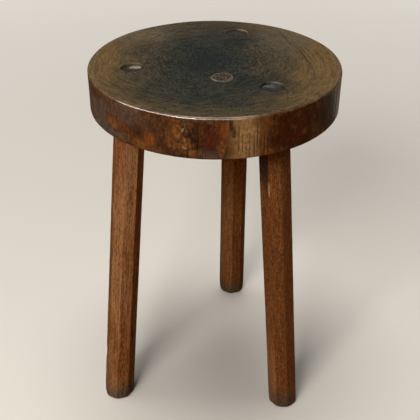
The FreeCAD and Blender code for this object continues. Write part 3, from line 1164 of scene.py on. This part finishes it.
def crack_path(crack, number):
    """Close points along a crack, wandering a little, and the directions aside from it."""
    corners = np.array(crack.corners) * MM
    lengths = np.linalg.norm(np.diff(corners, axis=0), axis=1)
    along = np.concatenate(([0.0], np.cumsum(lengths)))
    places = np.linspace(0, along[-1], int(along[-1] / CRACK_STEP) + 1)
    path = np.column_stack([np.interp(places, along, corners[:, side]) for side in (0, 1)])
    run = np.gradient(path, axis=0)
    run /= np.linalg.norm(run, axis=1)[:, None]
    aside = np.column_stack((-run[:, 1], run[:, 0]))
    wander = np.array([waver_at(CRACK_WAVER, place, number) for place in places])
    return path + aside * (wander * CRACK_WOBBLE)[:, None], aside


def crack_strip(path, aside, half_width):
    """Rows of points along a crack, so that the ground has its groove."""
    return np.concatenate([path + aside * half_width * row for row in CRACK_ROWS])


def path_gap(points, path):
    """Distance of points from a path, and how far along it they are, from 0 to 1."""
    run = np.diff(path, axis=0)
    offsets = points[:, None] - path[None, :-1]
    share = np.clip((offsets * run).sum(2) / (run ** 2).sum(1), 0, 1)
    gaps = np.linalg.norm(offsets - share[..., None] * run, axis=2)
    best = gaps.argmin(1)
    chosen = np.arange(len(points)), best
    return gaps[chosen], (best + share[chosen]) / len(run)


def hole_gap(plan, hole):
    """Distance of places on a plan from a hole's wall."""
    return np.linalg.norm(plan - np.array(hole.centre), axis=1) - hole.radius


def sunflower(radius, spacing):
    """Points spread evenly over a disc."""
    count = int(math.pi * radius ** 2 / (spacing ** 2 * CELL_AREA))
    numbers = np.arange(count)
    reach = radius * np.sqrt((numbers + 0.5) / count)
    return np.column_stack((reach * np.cos(numbers * GOLDEN_ANGLE), reach * np.sin(numbers * GOLDEN_ANGLE)))


def ring(centre, radius, columns):
    """Points round a circle, anticlockwise."""
    angles = np.arange(columns) * 2 * math.pi / columns
    return np.column_stack((centre[0] + radius * np.cos(angles), centre[1] + radius * np.sin(angles)))


def at_height(plan, height):
    """Points over a plan, all at one height."""
    return np.column_stack((plan, np.full(len(plan), height)))


def fill_between(border, holes, inner):
    """Triangles over the ground inside a border and outside some holes: points, triangles and loops."""
    loops = [border, *holes]
    starts = np.cumsum([0] + [len(loop) for loop in loops])
    edges = []
    for start, loop in zip(starts, loops):
        edges += [(start + i, start + (i + 1) % len(loop)) for i in range(len(loop))]
    points = np.concatenate([*loops, inner]) / MM
    corners = [Vector(point) for point in points]
    found, _, triangles, origins, *_ = delaunay_2d_cdt(corners, edges, [], INSIDE_BORDER, MERGE_GAP)
    place_of = {origin: place for place, several in enumerate(origins) for origin in several}
    ground = np.array([tuple(p) for p in found]) * MM
    loops = [[place_of[start + i] for i in range(len(loop))] for start, loop in zip(starts, loops)]
    insides = [set(loop) for loop in loops[1:]]
    kept = [t for t in triangles if not any(inside.issuperset(t) for inside in insides)]
    return ground, kept, loops


def knot_relief(place):
    """How far the knots make the edge swell out round a dented middle."""
    relief = 0.0
    for knot in EDGE_KNOTS:
        sides = zip(place, knot.middle, knot.reach)
        gap = math.hypot(*((here - middle) / reach for here, middle, reach in sides))
        swell = KNOT_SWELL * math.exp(-((gap - KNOT_RING) / KNOT_RING_WIDTH) ** 2)
        relief += swell - KNOT_DENT * math.exp(-(gap / KNOT_DENT_WIDTH) ** 2)
    return relief


class SeatMaker:
    """Builds the seat's mesh about its axis, with its top at zero."""

    def __init__(self, settings):
        self.settings = settings
        self.thickness = SEAT.top - SEAT.underside
        self.checks = make_checks()
        self.paths = [crack_path(crack, number) for number, crack in enumerate(TOP_CRACKS)]
        self.mortises = [self.mortise(leg) for leg in LEGS]
        plug_middle = ((PLUG_LOW + PLUG_HIGH) / 2).to_2d() - SEAT.axis
        plug_radius = (PLUG_HIGH.x - PLUG_LOW.x) / 2 + PLUG_GAP
        self.plug_hole = Hole(plug_middle, plug_radius, PLUG_LIP, Vector((0, 0)), SEAT.top - PLUG_LOW.z)
        self.points = []
        self.faces = []
        self.marks = {name: [] for name in SEAT_MARKS}

    def mortise(self, leg):
        """Slanted hole for a leg's tenon."""
        slant = (leg.foot - leg.head).to_2d() / leg.head.z
        centre = leg.head.to_2d() - slant * (SEAT.top - leg.head.z) - SEAT.axis
        return Hole(centre, TENON_RADIUS + MORTISE_GAP, self.settings.mouth_round, slant, self.thickness)

    def relief(self, plan):
        """Height of the top over its plan, and how much of a crack or scratch is there."""
        swell = np.array([bump_at(TOP_SWELL, x, y) for x, y in plan])
        ripple = np.array([bump_at(TOP_RIPPLE, x, y) for x, y in plan])
        height = self.settings.unevenness * (swell + TOP_RIPPLE_SHARE * ripple)
        share = np.linalg.norm(plan, axis=1) / SEAT.radius
        height -= self.settings.rim_droop * np.clip((share - DROOP_FROM) / DROOP_OVER, 0, 1) ** 2
        marks = {False: np.zeros(len(plan)), True: np.zeros(len(plan))}
        for crack, (path, _) in zip(TOP_CRACKS, self.paths):
            gap, along = path_gap(plan, path)
            taper = np.clip(np.minimum(along, 1 - along) / CRACK_TAPER, 0, 1)
            groove = np.clip(1 - gap / (crack.half_width * MM), 0, 1) * taper
            height -= groove * crack.depth * MM
            marks[crack.pale] = np.maximum(marks[crack.pale], groove)
        for hole in (*self.mortises, self.plug_hole):
            inside = np.clip(hole.lip - hole_gap(plan, hole), 0, hole.lip)
            height -= hole.lip - np.sqrt(hole.lip ** 2 - inside ** 2)
        return height, marks[False], marks[True]

    def lips(self, plan):
        """How far points are on the worn mouth of a tenon's hole."""
        gaps = [hole_gap(plan, hole) / hole.lip for hole in self.mortises]
        return np.clip(LIP_REACH - np.minimum.reduce(gaps), 0, 1)

    def add_points(self, points, **marks):
        """Adds points with their marks and returns their numbers."""
        start = len(self.points)
        self.points.extend(map(tuple, points))
        for name, values in self.marks.items():
            values.extend(np.broadcast_to(marks.get(name, 0.0), len(points)))
        return list(range(start, len(self.points)))

    def add_band(self, upper, lower):
        """Adds faces between two rings of points."""
        for i in range(len(upper)):
            after = (i + 1) % len(upper)
            self.faces.append((upper[i], lower[i], lower[after], upper[after]))

    def add_ground(self, numbers, triangles, loops, rings):
        """Adds triangles, whose loops share the points of some rings."""
        for loop, shared_ring in zip(loops, rings):
            for own, shared in zip(loop, shared_ring):
                numbers[own] = shared
        self.faces.extend(tuple(numbers[i] for i in triangle) for triangle in triangles)

    def plan_of(self, numbers):
        """Level places of some points."""
        return np.array([self.points[i][:2] for i in numbers])

    def columns(self):
        columns = []
        for number, check in enumerate(self.checks):
            for row in CRACK_ROWS:
                columns.append((check.bearing + row * CHECK_HALF_WIDTH / SEAT.radius, number, row))
        clear = CHECK_CLEAR / SEAT.radius
        for i in range(EDGE_COLUMNS):
            bearing = 2 * math.pi * i / EDGE_COLUMNS
            if all(abs(bearing - check.bearing) > clear for check in self.checks):
                columns.append((bearing, None, 0.0))
        return sorted(columns, key=lambda column: column[0])

    def profile(self, rim_round):
        """Rows down the edge, each with how far it is on the side and on the rim."""
        lower_round = self.settings.lower_round
        yield EdgeRow(BORDER, 0.0, 0.0, 0.0)
        yield EdgeRow(BORDER * INNER_BORDER, 0.0, 0.0, 0.0)
        yield EdgeRow(rim_round + RIM_MARGIN, 0.0, 0.0, MARGIN_RIM)
        for i in range(RIM_STEPS):
            share = i / (RIM_STEPS - 1)
            angle = share * QUARTER_TURN
            yield EdgeRow(rim_round * (1 - math.sin(angle)), rim_round * (1 - math.cos(angle)), share, 1.0)
        straight = self.thickness - rim_round - lower_round
        for i in range(1, SIDE_ROWS + 1):
            yield EdgeRow(0.0, rim_round + straight * i / SIDE_ROWS, 1.0, SIDE_RIM if i == 1 else 0.0)
        for i in range(1, LOWER_STEPS):
            angle = i / (LOWER_STEPS - 1) * QUARTER_TURN
            drop = self.thickness - lower_round * (1 - math.sin(angle))
            yield EdgeRow(lower_round * (1 - math.cos(angle)), drop, 1.0, 0.0)
        yield EdgeRow(BORDER, self.thickness, 1.0, 0.0)

    def check_groove(self, check_number, across, row):
        """How much of a check's groove is at a row of a column, and how far the column strays there."""
        if check_number is None:
            return 0.0, 0.0
        check = self.checks[check_number]
        share = row.drop / self.thickness
        inside = min(share - check.start, check.end - share) / CHECK_TAPER
        groove = max(0.0, 1 - abs(across)) * min(1.0, max(0.0, inside))
        wobble = CHECK_WOBBLE * waver_at(CHECK_WAVER, row.drop, check_number)
        return groove * row.side, row.side * wobble / SEAT.radius

    def edge_column(self, bearing, check_number, across):
        """Points down one column of the edge, from the top's border to the underside's."""
        settings = self.settings
        rim_swell = bump_at(RIM_SWELL, math.cos(bearing), math.sin(bearing))
        for row in self.profile(settings.rim_round + settings.rim_change * rim_swell):
            groove, stray = self.check_groove(check_number, across, row)
            x, y = math.cos(bearing + stray), math.sin(bearing + stray)
            swell = edge_bump(EDGE_SWELL, x, y, row.drop)
            swell += EDGE_RIPPLE_SHARE * edge_bump(EDGE_RIPPLE, x, y, row.drop)
            reach = SEAT.radius - row.inset + settings.unevenness * swell * row.side
            reach += knot_relief((x * SEAT.radius, y * SEAT.radius, -row.drop)) * row.side
            if groove:
                reach -= groove * self.checks[check_number].depth
            yield EdgePoint((x * reach, y * reach, -row.drop), row.side, row.rim, groove)

    def make_edge(self):
        """Rim, side and lower edge; returns the top's and the underside's border rings."""
        columns = [list(self.edge_column(*column)) for column in self.columns()]
        rings = []
        for row in zip(*columns):
            places, side, rim, groove = (np.array(values) for values in zip(*row))
            height, crack, scratch = self.relief(places[:, :2])
            places[:, 2] += height * (1 - side)
            crack = np.maximum(crack * (1 - side), groove)
            rings.append(self.add_points(places, side=side, rim=rim, crack=crack, scratch=scratch))
        for upper, lower in zip(rings, rings[1:]):
            self.add_band(upper, lower)
        return rings[0], rings[-1]

    def ground(self, holes):
        """Points for the top's ground, its cracks and the worn mouths of its holes."""
        plan = sunflower(SEAT.radius - BORDER - BORDER_CLEAR * GROUND_SPACING, GROUND_SPACING)
        strips = []
        for crack, (path, aside) in zip(TOP_CRACKS, self.paths):
            gap, _ = path_gap(plan, path)
            plan = plan[gap > crack.half_width * MM + CRACK_CLEAR * GROUND_SPACING]
            strips.append(crack_strip(path, aside, crack.half_width * MM))
        plan = np.concatenate([plan, *strips])
        plan = plan[np.linalg.norm(plan, axis=1) < SEAT.radius - BORDER - STRIP_CLEAR * GROUND_SPACING]
        mouths = []
        for hole in holes:
            plan = plan[hole_gap(plan, hole) > hole.lip * MOUTH_LOOPS[-1] + MOUTH_CLEAR * GROUND_SPACING]
            for loop in MOUTH_LOOPS:
                mouths.append(ring(hole.centre, hole.radius + hole.lip * loop, MOUTH_COLUMNS))
        return np.concatenate([plan, *mouths])

    def make_top(self, border):
        """Ground of the top, joined to the edge's border ring; returns the mouths' rings."""
        holes = [*self.mortises, self.plug_hole]
        mouths = [ring(hole.centre, hole.radius, MOUTH_COLUMNS) for hole in holes]
        plan, triangles, loops = fill_between(self.plan_of(border), mouths, self.ground(holes))
        height, crack, scratch = self.relief(plan)
        places = np.column_stack((plan, height))
        numbers = self.add_points(places, lip=self.lips(plan), crack=crack, scratch=scratch)
        self.add_ground(numbers, triangles, loops, [border])
        return [[numbers[i] for i in loop] for loop in loops[1:]]

    def make_walls(self, hole, mouth):
        """Wall of a hole, down from its mouth; returns its lowest ring."""
        upper = mouth
        for drop in (hole.lip * WALL_LIP, hole.depth * WALL_MIDDLE, hole.depth):
            circle = ring(Vector(hole.centre) + hole.slant * drop, hole.radius, MOUTH_COLUMNS)
            lower = self.add_points(at_height(circle, -drop), lip=1.0 if upper is mouth else 0.0)
            self.add_band(upper, lower)
            upper = lower
        return upper

    def make_underside(self, border, mortise_rings):
        """Ground of the underside, joined to the edge and to the mortises."""
        holes = [self.plan_of(low_ring) for low_ring in mortise_rings]
        inner = sunflower(SEAT.radius - BORDER - UNDER_SPACING, UNDER_SPACING)
        for hole in holes:
            centre = hole.mean(0)
            reach = np.linalg.norm(hole - centre, axis=1).max() + UNDER_SPACING / 2
            inner = inner[np.linalg.norm(inner - centre, axis=1) > reach]
        plan, triangles, loops = fill_between(self.plan_of(border), holes, inner)
        numbers = self.add_points(at_height(plan, -self.thickness), side=1.0)
        facing_down = [triangle[::-1] for triangle in triangles]
        self.add_ground(numbers, facing_down, loops, [border, *mortise_rings])

    def make_mesh(self):
        """Whole seat as one closed mesh."""
        top_border, under_border = self.make_edge()
        *mouths, plug_mouth = self.make_top(top_border)
        low_rings = [self.make_walls(hole, mouth) for hole, mouth in zip(self.mortises, mouths)]
        self.faces.append(tuple(self.make_walls(self.plug_hole, plug_mouth)))
        self.make_underside(under_border, low_rings)
        offset = (*SEAT.axis, SEAT.top)
        return plain_mesh("worn_seat", np.array(self.points) + np.array(offset), self.faces, self.marks)


def plain_mesh(name, points, faces, marks):
    """Closed, smooth mesh that faces outwards, with values stored on its points."""
    mesh = bpy.data.meshes.new(name)
    mesh.from_pydata([tuple(p) for p in points], [], faces)
    for label, values in marks.items():
        mesh.attributes.new(label, "FLOAT", "POINT").data.foreach_set("value", np.array(values, np.float32))
    work = bmesh.new()
    work.from_mesh(mesh)
    loose = [vertex for vertex in work.verts if not vertex.link_faces]
    bmesh.ops.delete(work, geom=loose, context="VERTS")
    bmesh.ops.recalc_face_normals(work, faces=work.faces)
    if any(not edge.is_manifold for edge in work.edges):
        raise RuntimeError(f"the mesh of {name} isn't closed")
    work.to_mesh(mesh)
    work.free()
    mesh.shade_smooth()
    return mesh


# Plug mesh

PLUG_COLUMNS = 96
PLUG_ROUND_STEPS = 6

# Rings of the plug's face, by shares of its radius; those past a share are on its worn edge
PLUG_FACE_RINGS = (0.93, 0.8, 0.64, 0.48, 0.32, 0.16, 0.05)
PLUG_EDGE_SHARE = 0.9
PLUG_WAVE, PLUG_UNEVENNESS = Bumps(160, 2.2), 0.15 * MM


def plug_mesh(settings):
    """Round plug with a worn upper edge and a face that isn't quite flat."""
    middle = (PLUG_LOW + PLUG_HIGH) / 2
    radius = (PLUG_HIGH.x - PLUG_LOW.x) / 2
    rows = [(radius, PLUG_LOW.z, 0.0)]
    for i in range(PLUG_ROUND_STEPS):
        angle = i / (PLUG_ROUND_STEPS - 1) * QUARTER_TURN
        reach = radius - settings.edge_round * (1 - math.cos(angle))
        rows.append((reach, PLUG_HIGH.z - settings.edge_round * (1 - math.sin(angle)), 1.0))
    face_radius = rows[-1][0]
    for share in PLUG_FACE_RINGS:
        rows.append((face_radius * share, PLUG_HIGH.z, 1.0 if share > PLUG_EDGE_SHARE else 0.0))
    points, rim, faces = [], [], []
    for reach, height, mark in rows:
        for x, y in ring(middle, reach, PLUG_COLUMNS):
            wave = PLUG_UNEVENNESS * bump_at(PLUG_WAVE, x, y) if height > PLUG_LOW.z else 0.0
            points.append((x, y, height + wave))
            rim.append(mark)
    for row in range(len(rows) - 1):
        for i in range(PLUG_COLUMNS):
            here, after = row * PLUG_COLUMNS, (i + 1) % PLUG_COLUMNS
            above = here + PLUG_COLUMNS
            faces.append((here + i, here + after, above + after, above + i))
    last = (len(rows) - 1) * PLUG_COLUMNS
    faces.append(tuple(range(PLUG_COLUMNS))[::-1])
    faces.append(tuple(range(last, last + PLUG_COLUMNS)))
    return plain_mesh("worn_plug", points, faces, {"rim": rim})


# Operators


def fit_piece(piece, node):
    """Puts a piece in a frame node's place."""
    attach(piece, BODY)
    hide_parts(node)


def add_piece(mesh, material):
    """New object for a mesh."""
    mesh.materials.append(material)
    return add_object(mesh.name, mesh)


def tenon_bearing(leg):
    """Bearing of a leg's tenon from the seat's axis."""
    outwards = leg.head.to_2d() - SEAT.axis
    return math.atan2(outwards.y, outwards.x)


def tenon_values(leg, settings, material):
    """Inputs that the trees of a leg and of its wedge share."""
    return {
        "Foot": leg.foot, "Head": leg.head, "Tenon Radius": TENON_RADIUS, "Material": material,
        "Kerf Bearing": tenon_bearing(leg), "Kerf Depth": WEDGE_LENGTH,
        "Kerf Width": settings.kerf_width, "Tip Width": settings.tip_width,
    }


# Tone and figure of each leg's wood, a scar, the seat's painted shadow on the upper flats, and the bearings
# of the flats that daylight has faded and that are painted lighter as if lit; a fading below zero at the
# seat runs out on the way up
LEG_LOOKS = {
    "left": {
        "Seed": 3.1, "Tone": 0.88, "Figure": 1.05, "Scar Height": 62 * MM, "Scar Turn": 3.5,
        "Foot Fading and Light": 0.60, "Seat Fading and Light": 1.2, "Seat Shade": 0.0,
        "Foot Daylight": math.radians(222), "Seat Daylight": math.radians(300),
    },
    "right": {
        "Seed": 7.7, "Tone": 0.64, "Figure": 0.55, "Scar Height": 318 * MM, "Scar Turn": -3.5,
        "Foot Fading and Light": 1.05, "Seat Fading and Light": -2.0, "Seat Shade": 1.0,
        "Foot Daylight": math.radians(214), "Seat Daylight": math.radians(214),
    },
    "rear": {
        "Seed": 12.4, "Tone": 0.72, "Figure": 0.80, "Scar Height": 150 * MM, "Scar Turn": 1.5,
        "Foot Fading and Light": 0.55, "Seat Fading and Light": 0.25, "Seat Shade": 1.0,
        "Foot Daylight": math.radians(221), "Seat Daylight": math.radians(228),
    },
}


class STOOL_OT_make_seat(bpy.types.Operator):
    """Make the worn round seat"""

    bl_idname = "stool.make_seat"
    bl_label = "Make Seat"

    def execute(self, context):
        settings = context.scene.stool_seat
        piece = add_piece(SeatMaker(settings).make_mesh(), seat_wood(settings))
        fit_piece(piece, "seat")
        return {"FINISHED"}


class STOOL_OT_make_legs(bpy.types.Operator):
    """Make the three octagonal legs with their tenons"""

    bl_idname = "stool.make_legs"
    bl_label = "Make Legs"

    def execute(self, context):
        settings = context.scene.stool_legs
        tree = leg_tree()
        material = leg_wood(settings)
        for leg in LEGS:
            piece = grow("worn_" + leg.name + "_leg", tree, {
                **tenon_values(leg, settings, material), **LEG_LOOKS[leg.name],
                "Shoulder": SEAT.underside, "Facet Bearing": leg.facet_bearing,
                "Width at Foot": leg.width_at_foot, "Width at Seat": leg.width_at_seat,
                "Foot Round": settings.foot_round, "End Round": settings.end_round,
                "Unevenness": settings.unevenness, "Arris Wear": settings.arris_wear,
                "Chip Depth": settings.chip_depth,
            })
            fit_piece(piece, leg.name + "_leg")
        return {"FINISHED"}


class STOOL_OT_make_wedges(bpy.types.Operator):
    """Make the wedges in the tenons' kerfs"""

    bl_idname = "stool.make_wedges"
    bl_label = "Make Wedges"

    def execute(self, context):
        settings = context.scene.stool_legs
        tree = wedge_tree()
        material = wedge_wood(settings)
        for leg in LEGS:
            piece = grow("worn_" + leg.name + "_wedge", tree, tenon_values(leg, settings, material))
            fit_piece(piece, leg.name + "_wedge")
        return {"FINISHED"}


class STOOL_OT_make_plug(bpy.types.Operator):
    """Make the plug in the seat's top"""

    bl_idname = "stool.make_plug"
    bl_label = "Make Plug"

    def execute(self, context):
        settings = context.scene.stool_plug
        piece = add_piece(plug_mesh(settings), plug_wood(settings))
        fit_piece(piece, "seat_plug")
        return {"FINISHED"}


Lamp = namedtuple("Lamp", "name bearing elevation distance width height power tint lights_all")

# Soft lights round the stool, each by its bearing and elevation in degrees
LAMPS = (
    Lamp("window", 244, 37, 2.2, 0.90, 0.60, 28.0, (255, 248, 238), True),
    Lamp("left strip", 215, 44, 1.6, 2.00, 0.36, 54.0, (255, 246, 240), False),
    Lamp("front strip", 277, 38, 1.8, 1.00, 0.30, 14.0, (255, 246, 240), False),
    Lamp("ceiling", 120, 84, 4.0, 2.40, 2.20, 105.0, (255, 250, 242), True),
)
LAMP_TARGET = Vector((0.0, 0.0, 0.25))
FILL_STRENGTH = 0.03
MIRRORED_STRENGTH = 0.22
SEEN_STRENGTH = 1.02
FLOOR_RADIUS, FLOOR_SIDES = 8.0, 96
FLOOR_ROUGHNESS, FLOOR_SHINE = 0.8, 0.1
SENSOR_WIDTH = 36.0

# Floor that shows pale in mirrored light, counted slantwise from the stool to the back right
PALE_SLANT = 0.5
PALE_FROM, PALE_TO = 0.86, 0.94
PALE_SHARE = 0.34

# Glow that the camera sees on the floor far from the stool
GLOW_FROM, GLOW_TO = 0.3, 4.0
GLOW_STRENGTH = 0.95


def add_lamp(lamp):
    """Soft area light that faces the stool."""
    data = bpy.data.lights.new(lamp.name, "AREA")
    data.shape = "RECTANGLE"
    data.size, data.size_y = lamp.width, lamp.height
    data.energy = lamp.power
    data.color = colour(*lamp.tint)
    light = add_object(lamp.name, data)
    bearing, elevation = math.radians(lamp.bearing), math.radians(lamp.elevation)
    level = math.cos(elevation)
    towards = Vector((level * math.cos(bearing), level * math.sin(bearing), math.sin(elevation)))
    light.location = LAMP_TARGET + towards * lamp.distance
    light.rotation_euler = (-towards).to_track_quat("-Z", "Y").to_euler()
    light.visible_diffuse = lamp.lights_all


def rays(tree):
    """Whether the camera sees a place, and whether a polished surface mirrors it."""
    path = tree.nodes.new("ShaderNodeLightPath")
    return [Flow(path.outputs[name]) for name in ("Is Camera Ray", "Is Glossy Ray")]


def floor_finish(settings):
    """Pale floor that throws back warm light."""
    finish, tree, shader = new_finish("pale floor")
    seen, mirrored = rays(tree)
    x, y, _ = parts(from_place(tree))
    pale = seen.of("MAXIMUM", mirrored * (y + x * PALE_SLANT).step(PALE_FROM, PALE_TO) * PALE_SHARE)
    warm = mix(mirrored, settings.bounce, settings.mirrored)
    values = {
        "Base Color": mix(pale, warm, settings.floor), "Emission Color": (*settings.floor, 1.0),
        "Emission Strength": seen * level_length(x, y).step(GLOW_FROM, GLOW_TO) * GLOW_STRENGTH,
        "Roughness": FLOOR_ROUGHNESS, "Specular IOR Level": FLOOR_SHINE,
    }
    for name, value in values.items():
        feed(shader.inputs[name], value)
    return finish


def add_floor(settings):
    """Wide plain floor that the feet stand on."""
    mesh = bpy.data.meshes.new("floor")
    outline = ring((0.0, 0.0), FLOOR_RADIUS, FLOOR_SIDES)
    mesh.from_pydata([(x, y, 0.0) for x, y in outline], [], [tuple(range(FLOOR_SIDES))])
    floor = add_piece(mesh, floor_finish(settings))


def add_camera(settings):
    """Camera at the photograph's angle."""
    data = bpy.data.cameras.new("camera")
    data.sensor_width = SENSOR_WIDTH
    data.lens = settings.lens
    camera = add_object("camera", data)
    camera.location = settings.camera_place
    view = Vector(settings.camera_target) - Vector(settings.camera_place)
    camera.rotation_mode = "QUATERNION"
    camera.rotation_quaternion = view.to_track_quat("-Z", "Y") @ Quaternion((0, 0, 1), settings.camera_roll)
    bpy.context.scene.camera = camera


def light_world(settings):
    """Even pale light from all round, seen as pale by the camera."""
    world = bpy.data.worlds.new("studio")
    world.use_nodes = True
    tree = world.node_tree
    background = tree.nodes["Background"]
    feed(background.inputs["Color"], (*settings.floor, 1.0))
    seen, mirrored = rays(tree)
    glare = seen * (SEEN_STRENGTH - FILL_STRENGTH) + mirrored * (MIRRORED_STRENGTH - FILL_STRENGTH)
    feed(background.inputs["Strength"], glare + FILL_STRENGTH)
    bpy.context.scene.world = world


class STOOL_OT_make_stage(bpy.types.Operator):
    """Make the floor, the lights and the camera"""

    bl_idname = "stool.make_stage"
    bl_label = "Make Stage"

    def execute(self, context):
        settings = context.scene.stool_stage
        add_floor(settings)
        for lamp in LAMPS:
            add_lamp(lamp)
        light_world(settings)
        add_camera(settings)
        context.scene.view_settings.view_transform = "Standard"
        return {"FINISHED"}


SETTINGS = {
    "stool_seat": SeatSettings,
    "stool_legs": LegSettings,
    "stool_plug": PlugSettings,
    "stool_stage": StageSettings,
}
OPERATORS = (
    STOOL_OT_make_seat,
    STOOL_OT_make_legs,
    STOOL_OT_make_wedges,
    STOOL_OT_make_plug,
    STOOL_OT_make_stage,
)


class STOOL_PT_sidebar(bpy.types.Panel):
    """Lists the stool's pieces and settings"""

    bl_label = "Stool"
    bl_idname = "STOOL_PT_sidebar"
    bl_space_type = "VIEW_3D"
    bl_region_type = "UI"
    bl_category = "Stool"

    def draw(self, context):
        for operator in OPERATORS:
            self.layout.operator(operator.bl_idname)
        for name, group in SETTINGS.items():
            column = self.layout.column()
            for setting in group.__annotations__:
                column.prop(getattr(context.scene, name), setting)


CLASSES = (*SETTINGS.values(), *OPERATORS, STOOL_PT_sidebar)


def register():
    """Registers the settings, the operators and the panel."""
    for item in CLASSES:
        bpy.utils.register_class(item)
    for name, group in SETTINGS.items():
        setattr(bpy.types.Scene, name, PointerProperty(type=group))


def unregister():
    """Undoes what register did."""
    for name in SETTINGS:
        delattr(bpy.types.Scene, name)
    for item in reversed(CLASSES):
        bpy.utils.unregister_class(item)


def main():
    """Makes every piece and the stage."""
    register()
    for operator in OPERATORS:
        family, action = operator.bl_idname.split(".")
        getattr(getattr(bpy.ops, family), action)()


if __name__ == "__main__":
    main()
